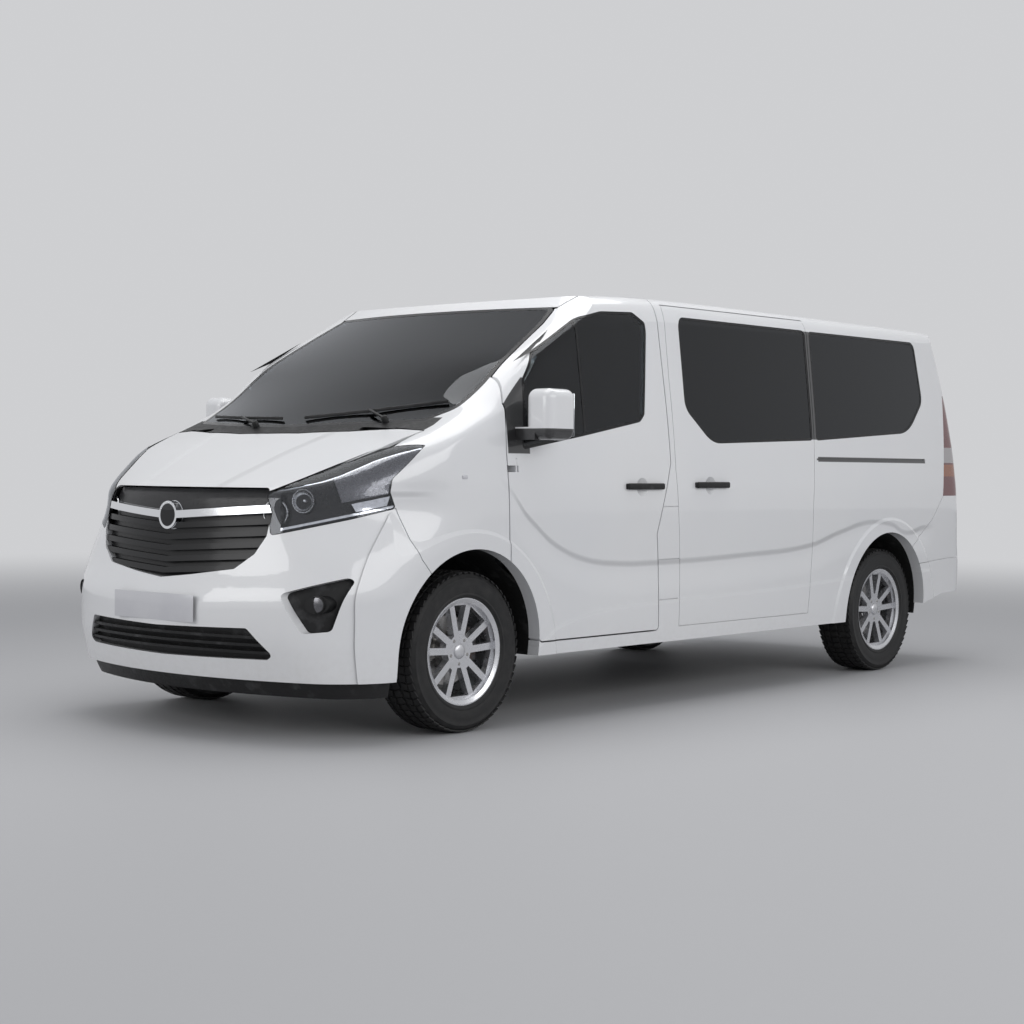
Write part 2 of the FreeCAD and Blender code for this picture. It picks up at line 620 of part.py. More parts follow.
for label, shape in (("bumper", bumperLeft), ("wing", wing), ("cowl", cowlLeft), ("lamp", lampPiece),
                     ("screen", screenPiece), ("bonnet", bonnet), ("door", door), ("slide", slide),
                     ("tailgate", tailgate)):
    print(label, shape.isValid(), [round(x.Volume / 1e6, 2) for x in shape.Solids])

# Shut lines between fixed panels, as narrow grooves in the skin
skin = leftBlock.cut(bodyForm(size.seamDepth, size.seamDepth))


def seam(points):
    """Narrow groove along a side-view line."""
    pieces = []
    half = size.seamWidth / 2
    for (x1, z1), (x2, z2) in zip(points, points[1:]):
        first = Vec(station(x1), side(pillarEdge), level(z1))
        second = Vec(station(x2), side(pillarEdge), level(z2))
        along = (second - first).normalize() * half
        across = Vec(along.z, 0, -along.x)
        corners = [first - along - across, second + along - across, second + along + across, first - along + across]
        pieces.append(checked(Part.Face(Part.makePolygon(corners + corners[:1])).extrude(Vec(0, halfWidth, 0))))
    return skin.common(pieces[0].fuse(pieces[1:]))


seamLines = {
    "bumper": bumperShares[2:8],
    "rear bumper": [(1.288, 0.300), (1.728, 0.3125), (2.2, 0.315)],
    "rear corner": [(1.20, 0.333), (1.243, 0.345), (1.529, 0.432), (1.68, 0.509)],
    "rear pillar": [(1.752, 0.77), (1.79, 0.96)],
    "flap top": [(0.366, 0.481), (0.416, 0.482)],
    "flap bottom": [(0.372, 0.354), (0.418, 0.3545)],
    "pillar foot": [(0.374, 0.256), (0.420, 0.257)],
    "slide": slideShares + slideShares[:1],
}
seams = {name: seam(points) for name, points in seamLines.items()}
railShares = [(0.780, 0.601), (1.449, 0.604), (1.449, 0.607), (0.780, 0.604)]
rail = skin.common(sidePrism(railShares, 0, 2))
ditch = skin.common(roofStrip(size.seamWidth / 2).cut(roofStrip(-size.seamWidth / 2)))
for label, shape in list(seams.items()) + [("rail", rail), ("ditch", ditch)]:
    print("seam", label, shape.isValid(), round(shape.Volume / 1e3, 1))

# Fixed pieces of the side and roof
sideEnd = leftWalls.common(box(station(2.5), station(0.0), 0, 2 * halfWidth, 0, 2 * size.roofHeight))
tailLamp = sideEnd.common(tailLampBlock)
rearBumperBlock = sidePrism(rearBumperShares, 0, 0, 0)
rearBumperLeft = sideEnd.common(rearBumperBlock).cut(tailOpening)
for label, tool in (("roof", roofStrip(0)), ("door", doorOpening), ("slide", slideOpening), ("tail", tailOpening),
             ("quarter", quarterWindow), ("screen", screenOpening), ("tail lamp", tailLampBlock), ("bumper", rearBumperBlock),
             ("front", box(station(0.1), station(-2), 0, 2 * halfWidth, 0, level(0.83)))):
    sideEnd = sideEnd.cut(tool)
    print(label, sideEnd.isValid(), [round(x.Volume / 1e6, 2) for x in sideEnd.Solids])
sidePanel = sideEnd.common(aboveSills)
sidePanel = sidePanel.cut([seams[name] for name in ("rear corner", "rear bumper", "rear pillar", "flap top",
                                                    "flap bottom", "pillar foot", "slide")] + [rail, ditch])
slide = slide.cut([seams["slide"], ditch])
wing = wing.cut(seams["bumper"])
bumperLeft = bumperLeft.cut(seams["bumper"])
rearBumperLeft = rearBumperLeft.cut(seams["rear bumper"])


def handleCup(x, z):
    """Round recess in the door skin behind a handle."""
    reach = size.cupRadius ** 2 / (2 * size.cupDepth) + size.cupDepth / 2
    return Part.makeSphere(reach, Vec(station(x), side(1.0) + reach - size.cupDepth, level(z)))


door = door.cut(handleCup(0.333, 0.531))
slide = slide.cut(handleCup(0.493, 0.534))
roofPiece = shell.common(roofStrip(0)).cut([ditch, mirror(ditch)])
for tool in (tailOpening, screenOpening):
    roofPiece = roofPiece.cut(tool)
rackX = station(0.72)
for alongHand in (-1, 1):
    for acrossHand in (-1, 1):
        spot = Vec(rackX + alongHand * size.rackSpacingX / 2, acrossHand * size.rackSpacingY / 2,
                   level(0.997) - size.rackHoleDepth)
        roofPiece = roofPiece.cut(Part.makeCylinder(size.rackHoleRadius, size.roofHeight, spot, Vec(0, 0, 1)))
for label, shape in (("side", sidePanel), ("roof", roofPiece), ("rear bumper", rearBumperLeft),
                     ("tail lamp", tailLamp)):
    print(label, shape.isValid(), [round(x.Volume / 1e6, 2) for x in shape.Solids])


def tidySolids(shape):
    """Drops the crumbs that the cuts leave."""
    keep = [solid for solid in shape.Solids if solid.Volume > size.overrun ** 3 / 4]
    return keep[0] if len(keep) == 1 else Part.Compound(keep)


def largest(shape):
    return max(shape.Solids, key=lambda solid: solid.Volume)


def joinedHalves(left):
    return left.fuse(mirror(left)).removeSplitter()


def bothSides(label, left):
    place(label + "_left", left)
    place(label + "_right", mirror(left))


def pairNode(label, left):
    place(label, Part.Compound(list(left.Solids) + list(mirror(left).Solids)))


def windowPane(tool):
    return glassOuter.common(tool).cut(glassInner)


bothSides("front_door", tidySolids(door))
bothSides("sliding_door", tidySolids(slide))
bothSides("side_panel", largest(sidePanel))
bothSides("front_wing", tidySolids(wing))
place("bonnet", tidySolids(bonnet))
place("tailgate", tidySolids(tailgate))
place("roof_panel", tidySolids(roofPiece))
place("front_bumper", joinedHalves(tidySolids(bumperLeft)))
place("rear_bumper", joinedHalves(tidySolids(rearBumperLeft)))
place("cowl_panel", joinedHalves(largest(cowlLeft)))
place("front_valance", tidySolids(valance))
pairNode("headlamps", tidySolids(lampPiece))
pairNode("tail_lamps", tidySolids(tailLamp))
place("windscreen", tidySolids(screenPiece))
bothSides("door_glass", windowPane(sidePrism(doorGlassShares, scaled(doorGlassRadii), -fit, side(glassFrom))))
sideGlass = [windowPane(sidePrism(slideGlassShares, scaled(slideGlassRadii), -fit)),
             windowPane(sidePrism(quarterGlassShares, scaled(quarterGlassRadii), -fit))]
pairNode("side_glass", Part.Compound([solid for pane in sideGlass for solid in pane.Solids]))
place("tailgate_glass", tidySolids(windowPane(rearTool(tailGlassShares, side(0.06), -fit))))

# Grille inserts: a back plate with slats that follow the body form
plateDepth = size.grilleDepth * 0.75
slatRoot = size.grilleDepth * 0.8
slatFace = size.grilleDepth / 6


def band(middle, end, height, reach):
    """Slat tool seen from the front, dipping towards the middle."""
    half = [(0.0, middle), (reach, end)]
    upper = [(side(y), level(z + height / 2)) for y, z in half]
    lower = [(side(y), level(z - height / 2)) for y, z in half]
    loop = lower + upper[::-1] + [(-y, z) for y, z in upper[1:]] + [(-y, z) for y, z in lower[:0:-1]]
    return frontPrism(loop, station(-0.35), station(-1.5))


upperTool = frontTool(upperGrilleShares, side(0.02), -fit)
upperBands = [band(0.443 - number * 0.0235, 0.458 - number * 0.0235, 0.012, 0.56) for number in range(int(size.slatCount))]
upperSlats = skinLayer(upperBands[0].fuse(upperBands[1:]).common(upperTool), slatFace, slatRoot)
badgeDisc = Part.makeCylinder(size.badgeRadius, size.frontOverhang, Vec(frontAxleX, 0, level(0.466)), Vec(1, 0, 0))
barTool = band(0.466, 0.484, 0.016, 0.56).fuse(badgeDisc).common(upperTool)
upperPieces = [skinLayer(upperTool, plateDepth, size.grilleDepth), upperSlats, skinLayer(barTool, fit, slatRoot)]
place("upper_grille", tidySolids(upperPieces[0].fuse(upperPieces[1:]).removeSplitter()))
lowerTool = frontTool(lowerGrilleShares, side(0.02), -fit)
lowerBands = [band(share, share, 0.006, 0.64) for share in (0.188, 0.204, 0.220)]
lowerSlats = skinLayer(lowerBands[0].fuse(lowerBands[1:]).common(lowerTool), slatFace, slatRoot)
place("lower_grille", tidySolids(skinLayer(lowerTool, plateDepth, size.grilleDepth).fuse(lowerSlats).removeSplitter()))
fogTool = oneFrontTool(fogShares, side(0.02), -fit)
fogLamp = Part.makeCylinder(size.fogLampRadius, size.frontOverhang, Vec(frontAxleX, side(0.789), level(0.290)),
                            Vec(1, 0, 0))
fogPiece = skinLayer(fogTool, plateDepth, size.grilleDepth).fuse(
    skinLayer(fogLamp.common(fogTool), slatFace, size.grilleDepth * 1.1)).removeSplitter()
pairNode("fog_pockets", tidySolids(fogPiece))
for name in ("upper_grille", "lower_grille", "fog_pockets"):
    print(name, [round(solid.Volume) for solid in nodes[name].Shape.Solids])

# Middle expressions for the pieces that are bound to the sheet
noseExpression = "(sizes.frontOverhang + sizes.wheelbase + sizes.rearOverhang) / 2"
frontAxle = f"({noseExpression} - sizes.frontOverhang)"
rearAxle = f"({noseExpression} - sizes.frontOverhang - sizes.wheelbase)"
wheelCentre = "(sizes.trackWidth / 2)"


def boundBox(label, lengths, corner):
    feature = doc.addObject("Part::Box", label)
    feature.Label = label
    for name, expression in zip(("Length", "Width", "Height"), lengths):
        feature.setExpression(name, expression)
    for axis, expression in zip("xyz", corner):
        feature.setExpression("Placement.Base." + axis, expression)
    nodes[label] = feature
    return feature


def originPlane(body, role):
    return next(item for item in body.Origin.OriginFeatures if item.Role == role)


def boundSketch(body, label, role, points, offset=None):
    """Closed polygon whose corners are bound to the sheet, given as pairs of expressions."""
    sketch = body.newObject("Sketcher::SketchObject", label)
    sketch.AttachmentSupport = [(originPlane(body, role), "")]
    sketch.MapMode = "FlatFace"
    if offset:
        sketch.setExpression("AttachmentOffset.Base.z", offset)
    count = len(points)
    values = [(evaluate(x), evaluate(y)) for x, y in points]
    for index in range(count):
        first = Vec(*values[index], 0)
        second = Vec(*values[(index + 1) % count], 0)
        sketch.addGeometry(Part.LineSegment(first, second), False)
    for index in range(count):
        sketch.addConstraint(Sketcher.Constraint("Coincident", index, 2, (index + 1) % count, 1))
    for index, (x, y) in enumerate(points):
        for kind, expression, value in (("DistanceX", x, values[index][0]), ("DistanceY", y, values[index][1])):
            number = sketch.addConstraint(Sketcher.Constraint(kind, -1, 1, index, 1, value))
            sketch.setExpression(f"Constraints[{number}]", expression)
    return sketch


def evaluate(expression):
    """Value of an expression on the sheet's names."""
    for alias, value, meaning in sorted(sizeTable, key=lambda row: -len(row[0])):
        expression = expression.replace("sizes." + alias, str(value))
    cell = f"D{len(sizeTable) + 1}"
    sheet.set(cell, "=" + expression)
    sheet.recompute()
    value = float(sheet.get(cell))
    sheet.set(cell, "")
    return value


def newBody(label):
    body = doc.addObject("PartDesign::Body", label)
    body.Label = label
    return body


def bindPlace(feature, x, y, z, turn=0):
    feature.Placement = FreeCAD.Placement(Vec(0, 0, 0), FreeCAD.Rotation(Vec(0, 0, 1), turn))
    for axis, expression in zip("xyz", (x, y, z)):
        feature.setExpression("Placement.Base." + axis, expression)


def revolved(body, sketch, axis="H_Axis"):
    feature = body.newObject("PartDesign::Revolution", sketch.Name + "_turned")
    feature.Profile = sketch
    feature.ReferenceAxis = (sketch, [axis])
    feature.Angle = 360
    body.Tip = feature
    return feature


def addTyre(label, x, y, turn):
    body = newBody(label)
    half = "sizes.tyreWidth / 2"
    points = [("sizes.rimWidth / 2 - sizes.rimWall", "sizes.rimSeatRadius"), (half, "sizes.rimSeatRadius + 2 * sizes.tyreShoulder"),
              (f"{half} - sizes.tyreCrown", "sizes.tyreRadius - sizes.tyreShoulder"),
              (f"{half} - sizes.tyreShoulder", "sizes.tyreRadius")]
    mirrored = [(f"-({across})", radius) for across, radius in reversed(points)]
    revolved(body, boundSketch(body, label + "_section", "YZ_Plane", points + mirrored))
    bindPlace(body, x, y, "sizes.tyreRadius", turn)
    nodes[label] = body


def addRim(label, x, y, turn):
    body = newBody(label)
    lip = "sizes.rimWidth / 2"
    seat = "(sizes.rimSeatRadius - sizes.seatGap)"
    wall = "sizes.rimWall"
    barrel = [(lip, "sizes.rimLipRadius"), (f"{lip} - {wall}", seat), (f"-({lip} - {wall})", seat),
              (f"-{lip}", "sizes.rimLipRadius"), (f"-{lip}", f"sizes.rimLipRadius - {wall}"),
              (f"-({lip} - {wall})", f"{seat} - {wall}"), (f"{lip} - {wall}", f"{seat} - {wall}"),
              (lip, f"sizes.rimLipRadius - {wall}")]
    revolved(body, boundSketch(body, label + "_barrel", "YZ_Plane", barrel))
    face = "(sizes.rimWidth / 2 - sizes.rimDish)"
    back = f"{face} - sizes.hubThickness"
    radius = f"({seat} - {wall} / 2)"
    disc = [(face, "sizes.hubBoreRadius"), (face, "sizes.hubRadius"), (f"{face} + {wall} / 2", radius),
            (f"{face} - sizes.spokeThickness", radius), (back, "sizes.hubRadius"), (back, "sizes.hubBoreRadius")]
    revolved(body, boundSketch(body, label + "_disc", "YZ_Plane", disc))
    doc.recompute()
    for name, outerAngle, innerAngle, share in (("wide", "wideWindow", "wideWindow", 1), ("slot", "slotWindow", "slotWindow", 0)):
        sketch = body.newObject("Sketcher::SketchObject", f"{label}_{name}")
        sketch.AttachmentSupport = [(originPlane(body, "XZ_Plane"), "")]
        sketch.MapMode = "FlatFace"
        addWindow(sketch, share)
        pocket = body.newObject("PartDesign::Pocket", f"{label}_{name}_cut")
        pocket.Profile = sketch
        pocket.Type = "ThroughAll"
        pocket.Midplane = True
        body.Tip = pocket
        pattern = body.newObject("PartDesign::PolarPattern", f"{label}_{name}_round")
        pattern.Originals = [pocket]
        pattern.Axis = (sketch, ["N_Axis"])
        pattern.Angle = 360
        pattern.Occurrences = int(size.spokePairs)
        body.Tip = pattern
    bindPlace(body, x, y, "sizes.tyreRadius", turn)
    nodes[label] = body


def addWindow(sketch, wide):
    """Four-sided window between two spokes, symmetric about the sketch's upright axis."""
    turn = math.pi if wide else 0
    pairAngle = math.radians(360) / size.spokePairs
    rim = size.rimSeatRadius - 2 * size.rimWall
    hub = size.hubRadius
    halfSpoke = size.spokeWidth / 2
    spread = math.radians(size.spokeSpread)
    centreAngle = pairAngle / 2 if wide else 0
    reach = pairAngle / 2 - spread if wide else spread
    inner = hub if wide else hub + 2 * size.rimWall
    corners = []
    for radius, hand in ((inner, -1), (rim, -1), (rim, 1), (inner, 1)):
        angle = centreAngle + hand * max(reach - halfSpoke / radius, reach / 12)
        corners.append(Vec(radius * math.sin(angle), radius * math.cos(angle), 0))
    for index in range(4):
        sketch.addGeometry(Part.LineSegment(corners[index], corners[(index + 1) % 4]), False)
    for index in range(4):
        sketch.addConstraint(Sketcher.Constraint("Coincident", index, 2, (index + 1) % 4, 1))


wheels = (("front_left", frontAxle, 1), ("front_right", frontAxle, -1),
          ("rear_left", rearAxle, 1), ("rear_right", rearAxle, -1))
for name, x, hand in wheels:
    addTyre("tyre_" + name, x, f"{hand} * {wheelCentre}", 0 if hand > 0 else 180)
    addRim("rim_" + name, x, f"{hand} * {wheelCentre}", 0 if hand > 0 else 180)
doc.recompute()
for name in ("tyre_front_left", "rim_front_left"):
    print(name, nodes[name].Shape.isValid(), nodes[name].Shape.Volume / 1e6, len(nodes[name].Shape.Solids), len(nodes[name].Shape.Faces))


def bound(kind, label, properties, corner=None, node=False):
    """Part primitive whose sizes and place are expressions on the sheet."""
    feature = doc.addObject(kind, label)
    feature.Label = label
    for name, expression in properties.items():
        feature.setExpression(name, expression)
    for axis, expression in zip("xyz", corner or ()):
        feature.setExpression("Placement.Base." + axis, expression)
    if node:
        nodes[label] = feature
    return feature


def alongY(feature):
    feature.Placement = FreeCAD.Placement(feature.Placement.Base, FreeCAD.Rotation(Vec(1, 0, 0), -90))
    return feature


def fused(label, pieces, node=True):
    feature = doc.addObject("Part::MultiFuse", label)
    feature.Label = label
    feature.Shapes = pieces
    if node:
        nodes[label] = feature
    return feature


# Steering knuckles: a post on the steering axis with the hub nose that carries the wheel
for name, hand in (("left", 1), ("right", -1)):
    axisY = f"({hand} * ({wheelCentre} - sizes.kingpinInset))"
    post = bound("Part::Box", f"knuckle_post_{name}",
                 {"Length": "sizes.knuckleWidth", "Width": "sizes.knuckleThickness", "Height": "sizes.knuckleHeight"},
                 (f"{frontAxle} - sizes.knuckleWidth / 2", f"{axisY} - sizes.knuckleThickness / 2",
                  "sizes.tyreRadius - sizes.knuckleHeight / 2"))
    reach = f"(sizes.kingpinInset + sizes.rimWidth / 2 - sizes.rimDish - sizes.seatGap)"
    nose = bound("Part::Cylinder", f"knuckle_nose_{name}", {"Radius": "sizes.stubRadius", "Height": reach},
                 (frontAxle, axisY if hand > 0 else f"{axisY} - {reach}", "sizes.tyreRadius"))
    alongY(nose)
    pin = bound("Part::Cylinder", f"knuckle_pin_{name}",
                {"Radius": "sizes.kingpinRadius", "Height": "sizes.knuckleHeight + 2 * sizes.armHeight"},
                (frontAxle, axisY, "sizes.tyreRadius - sizes.knuckleHeight / 2 - sizes.armHeight"))
    fused(f"knuckle_{name}", [post, nose, pin])

# Front subframe with its lower arms and the struts that hold the knuckles
armZ = "(sizes.tyreRadius - sizes.knuckleHeight / 2 - sizes.seatGap - sizes.armHeight)"
topZ = "(sizes.tyreRadius + sizes.knuckleHeight / 2 + sizes.seatGap)"
frame = bound("Part::Box", "subframe_plate",
              {"Length": "sizes.subframeLength", "Width": "2 * sizes.frontHousingInner", "Height": "sizes.armHeight"},
              (f"{frontAxle} - sizes.subframeLength / 2", "-sizes.frontHousingInner", armZ))
subframePieces = [frame]
for name, hand in (("left", 1), ("right", -1)):
    axisY = f"({hand} * ({wheelCentre} - sizes.kingpinInset))"
    armLength = f"({wheelCentre} - sizes.kingpinInset + sizes.armWidth / 2)"
    arm = bound("Part::Box", f"lower_arm_{name}",
                {"Length": "sizes.armWidth", "Width": armLength, "Height": "sizes.armHeight"},
                (f"{frontAxle} - sizes.armWidth / 2", "0" if hand > 0 else f"-{armLength}", armZ))
    subframePieces.append(arm)
frameBlock = fused("subframe_block", subframePieces, False)
eyes = [bound("Part::Cylinder", f"arm_eye_{name}",
              {"Radius": "sizes.kingpinRadius + sizes.runningGap", "Height": "3 * sizes.armHeight"},
              (frontAxle, f"{hand} * ({wheelCentre} - sizes.kingpinInset)", f"{armZ} - sizes.armHeight"))
        for name, hand in (("left", 1), ("right", -1))]
eyePair = fused("arm_eyes", eyes, False)
subframe = doc.addObject("Part::Cut", "front_subframe")
subframe.Base = frameBlock
subframe.Tool = eyePair
subframe.Label = "front_subframe"
nodes["front_subframe"] = subframe

# Struts: each stands on its knuckle and reaches the top of the wheel housing
strutPieces = [bound("Part::Cylinder", f"strut_tube_{name}",
                     {"Radius": "sizes.strutRadius",
                      "Height": f"sizes.tyreRadius + sqrt(sizes.archRadius ^ 2 - sizes.strutRadius ^ 2) - sizes.seatGap"
                                f" - {topZ}"},
                     (frontAxle, f"{hand} * ({wheelCentre} - sizes.kingpinInset)", topZ))
               for name, hand in (("left", 1), ("right", -1))]
strutBores = [bound("Part::Cylinder", f"strut_bore_{name}",
                    {"Radius": "sizes.kingpinRadius + sizes.runningGap", "Height": "3 * sizes.armHeight"},
                    (frontAxle, f"{hand} * ({wheelCentre} - sizes.kingpinInset)", f"{topZ} - sizes.armHeight"))
              for name, hand in (("left", 1), ("right", -1))]
struts = doc.addObject("Part::Cut", "front_struts")
struts.Base = fused("strut_tubes", strutPieces, False)
struts.Tool = fused("strut_bores", strutBores, False)
struts.Label = "front_struts"
nodes["front_struts"] = struts

# Rear axle: tube with the hub noses, on trailing arms
tube = alongY(bound("Part::Cylinder", "axle_tube",
                    {"Radius": "sizes.axleTubeRadius", "Height": f"2 * ({wheelCentre} - sizes.kingpinInset)"},
                    (rearAxle, f"-({wheelCentre} - sizes.kingpinInset)", "sizes.tyreRadius")))
noses = alongY(bound("Part::Cylinder", "axle_noses",
                     {"Radius": "sizes.stubRadius",
                      "Height": f"2 * ({wheelCentre} + sizes.rimWidth / 2 - sizes.rimDish - sizes.seatGap)"},
                     (rearAxle, f"-({wheelCentre} + sizes.rimWidth / 2 - sizes.rimDish - sizes.seatGap)",
                      "sizes.tyreRadius")))
arms = [bound("Part::Box", f"trailing_arm_{name}",
              {"Length": "sizes.trailingArm", "Width": "sizes.armWidth",
               "Height": "sizes.floorTop - sizes.floorThickness - sizes.seatGap - sizes.tyreRadius"},
              (rearAxle, f"{hand} * sizes.armSpread - sizes.armWidth / 2", "sizes.tyreRadius"))
        for name, hand in (("left", 1), ("right", -1))]
fused("rear_axle", [tube, noses] + arms)

# Engine with its gearbox, one block across the vehicle
engineZ = "(sizes.tyreRadius - sizes.knuckleHeight / 2 + sizes.seatGap)"
bound("Part::Box", "engine_block",
      {"Length": "sizes.engineLength", "Width": "sizes.engineWidth", "Height": "sizes.engineHeight"},
      (f"{frontAxle} - sizes.engineLength / 2 + sizes.engineForward", "-sizes.engineWidth / 2", engineZ), True)

# Floor, bulkhead, wheel housings and dashboard follow the inner wall
cabin = bodyForm(size.wallThickness + fit, size.roofThickness + fit)
bulkheadX = station(0.045)
floorBlock = box(bulkheadX, station(3), -halfWidth, halfWidth, size.floorTop - size.floorThickness, size.floorTop)
housingTools = []
for axleX, innerY in ((frontAxleX, size.frontHousingInner), (rearAxleX, size.rearHousingInner)):
    housingTools.append(archCut(axleX, size.archRadius + size.linerThickness + fit,
                                innerY - size.linerThickness - fit))
floorShape = cabin.common(floorBlock)
bulkheadBlock = box(bulkheadX, bulkheadX + size.bulkheadThickness, -halfWidth, halfWidth,
                    size.floorTop - size.floorThickness, level(0.60))
bulkheadShape = cabin.common(bulkheadBlock)
for tool in housingTools:
    floorShape = floorShape.cut([tool, mirror(tool)])
    bulkheadShape = bulkheadShape.cut([tool, mirror(tool)])
place("floor_pan", floorShape.fuse(bulkheadShape).removeSplitter())
hingeX = station(0.062) - gap - size.hingeSetback
hingeY = halfWidth - size.hingeDepth
sweepRadius = math.hypot(size.hingeSetback, size.wallThickness) + 3 * gap
doorSweep = Part.makeCylinder(sweepRadius, size.roofHeight, Vec(hingeX, hingeY, 0), Vec(0, 0, 1))
housings = []
for axleX, innerY in ((frontAxleX, size.frontHousingInner), (rearAxleX, size.rearHousingInner)):
    ring = archCut(axleX, size.archRadius + size.linerThickness, innerY - size.linerThickness)
    ring = ring.cut(archCut(axleX, size.archRadius, innerY if axleX == rearAxleX else -size.overrun))
    ring = ring.common(cabin).common(box(station(-2), station(3), 0, halfWidth, size.sillHeight, size.roofHeight))
    ring = ring.cut(box(station(-2), station(3), 0, innerY, 0, size.floorTop - size.floorThickness))
    housings += ring.cut(doorSweep).Solids
pairNode("wheel_housings", Part.Compound(housings))
dashBlock = box(bulkheadX - fit, bulkheadX - size.dashDepth, -halfWidth, halfWidth,
                level(0.56) - size.dashHeight, level(0.56))
dashInset = bodyForm(size.wallThickness + size.dashMargin, size.roofThickness + size.dashMargin)
dashShape = dashInset.common(dashBlock)
for tool in (housingTools[0], mirror(housingTools[0])):
    dashShape = dashShape.cut(tool)
place("dashboard", dashShape)

steeringPlace = (0.157, 0.672)
hingeLevelShares = (0.41, 0.57)

# Seats: a base on the floor, a cushion, a leaning back and headrests
def seat(x, y, width, heads):
    """One seat or bench with its front edge at x and its middle at y."""
    cushionLow = size.cushionTop - size.cushionThickness
    pieces = []
    base = box(x - size.seatDepth + size.cushionRound, x - size.cushionRound, y - width / 2 + size.seatFoot,
               y + width / 2 - size.seatFoot, size.floorTop, cushionLow + size.cushionRound)
    cushion = box(x, x - size.seatDepth, y - width / 2, y + width / 2, cushionLow, size.cushionTop)
    back = box(x - size.seatDepth, x - size.seatDepth + size.backThickness, y - width / 2, y + width / 2,
               cushionLow + size.cushionRound, size.cushionTop + size.backHeight)
    cushion = cushion.makeFillet(size.cushionRound, cushion.Edges)
    back = back.makeFillet(size.cushionRound, back.Edges)
    pieces.append(cushion)
    turning = [back]
    for offset in heads:
        head = box(x - size.seatDepth + (size.backThickness - size.headrestThickness) / 2,
                   x - size.seatDepth + (size.backThickness + size.headrestThickness) / 2,
                   y + offset - size.headrestWidth / 2, y + offset + size.headrestWidth / 2,
                   size.cushionTop + size.backHeight - size.cushionRound,
                   size.cushionTop + size.backHeight + size.headrestHeight)
        turning.append(head.makeFillet(size.cushionRound * 0.8, head.Edges))
    for piece in turning:
        piece.rotate(Vec(x - size.seatDepth, y, cushionLow), Vec(0, 1, 0), -size.backLean)
        pieces.append(piece)
    return base.fuse(pieces).removeSplitter()


frontSeatX = station(0.235)
place("driver_seat", seat(frontSeatX, -size.seatSide, size.seatWidth, (0,)))
place("passenger_seat", seat(frontSeatX, size.seatSide, size.seatWidth, (0,)))
benchHeads = [share * size.benchWidth for share in (-0.33, 0.0, 0.33)]
place("middle_bench", seat(station(0.52), 0, size.benchWidth, benchHeads))
place("rear_bench", seat(station(0.80), 0, size.benchWidth - 2 * size.benchNarrowing, benchHeads))

# Steering wheel on its column, leaning towards the driver
wheelBody = newBody("steering_wheel")
grip = "sizes.steeringGrip"
ring = [(f"-{grip}", f"sizes.steeringRadius - {grip}"), (f"-{grip}", f"sizes.steeringRadius - 3 * {grip}"),
        (grip, f"sizes.steeringRadius - 3 * {grip}"), (grip, f"sizes.steeringRadius - {grip}")]
rimSketch = wheelBody.newObject("Sketcher::SketchObject", "steering_grip")
rimSketch.AttachmentSupport = [(originPlane(wheelBody, "XZ_Plane"), "")]
rimSketch.MapMode = "FlatFace"
rimSketch.addGeometry(Part.Circle(Vec(size.steeringRadius - size.steeringGrip, 0, 0), Vec(0, 0, 1),
                                  size.steeringGrip), False)
number = rimSketch.addConstraint(Sketcher.Constraint("Radius", 0, size.steeringGrip))
rimSketch.setExpression(f"Constraints[{number}]", "sizes.steeringGrip")
number = rimSketch.addConstraint(
    Sketcher.Constraint("DistanceX", -1, 1, 0, 3, size.steeringRadius - size.steeringGrip))
rimSketch.setExpression(f"Constraints[{number}]", "sizes.steeringRadius - sizes.steeringGrip")
rimSketch.addConstraint(Sketcher.Constraint("PointOnObject", 0, 3, -1))
revolved(wheelBody, rimSketch, "V_Axis")
hubSketch = boundSketch(wheelBody, "steering_hub", "XZ_Plane", [
    ("0", f"-3 * {grip}"), ("sizes.columnRadius * 2", f"-2 * {grip}"), ("sizes.columnRadius * 2", f"-{grip} / 2"),
    (f"sizes.steeringRadius - {grip}", f"-{grip} / 3"), (f"sizes.steeringRadius - {grip}", f"{grip} / 3"),
    ("sizes.columnRadius * 2", f"{grip}"), ("0", f"{grip}")])
revolved(wheelBody, hubSketch, "V_Axis")
doc.recompute()
gapSketch = boundSketch(wheelBody, "steering_windows", "XY_Plane", [
    ("-sizes.steeringRadius * 0.62", "sizes.columnRadius * 1.3"), ("sizes.steeringRadius * 0.62", "sizes.columnRadius * 1.3"),
    ("sizes.steeringRadius * 0.45", "sizes.steeringRadius - 3 * sizes.steeringGrip"),
    ("-sizes.steeringRadius * 0.45", "sizes.steeringRadius - 3 * sizes.steeringGrip")])
windows = wheelBody.newObject("PartDesign::Pocket", "steering_window_cut")
windows.Profile = gapSketch
windows.Type = "ThroughAll"
windows.Midplane = True
wheelBody.Tip = windows
lowSketch = boundSketch(wheelBody, "steering_low_windows", "XY_Plane", [
    ("-sizes.steeringRadius * 0.62", "-sizes.columnRadius * 0.8"), ("-sizes.columnRadius", "-sizes.columnRadius * 2"),
    ("-sizes.columnRadius * 0.6", "-(sizes.steeringRadius - 3 * sizes.steeringGrip)"),
    ("-sizes.steeringRadius * 0.5", "-sizes.steeringRadius * 0.5")])
lowCut = wheelBody.newObject("PartDesign::Pocket", "steering_low_cut")
lowCut.Profile = lowSketch
lowCut.Type = "ThroughAll"
lowCut.Midplane = True
wheelBody.Tip = lowCut
lowPair = wheelBody.newObject("PartDesign::Mirrored", "steering_low_pair")
lowPair.Originals = [lowCut]
lowPair.MirrorPlane = (originPlane(wheelBody, "YZ_Plane"), [""])
wheelBody.Tip = lowPair
columnTurn = FreeCAD.Rotation(Vec(0, 1, 0), -(90 - size.steeringTilt))
columnTop = Vec(station(steeringPlace[0]), -size.seatSide, level(steeringPlace[1]))
wheelBody.Placement = FreeCAD.Placement(columnTop, columnTurn)
nodes["steering_wheel"] = wheelBody
down = columnTurn.multVec(Vec(0, 0, -1))
columnStart = columnTop + down * (3 * size.steeringGrip + fit)
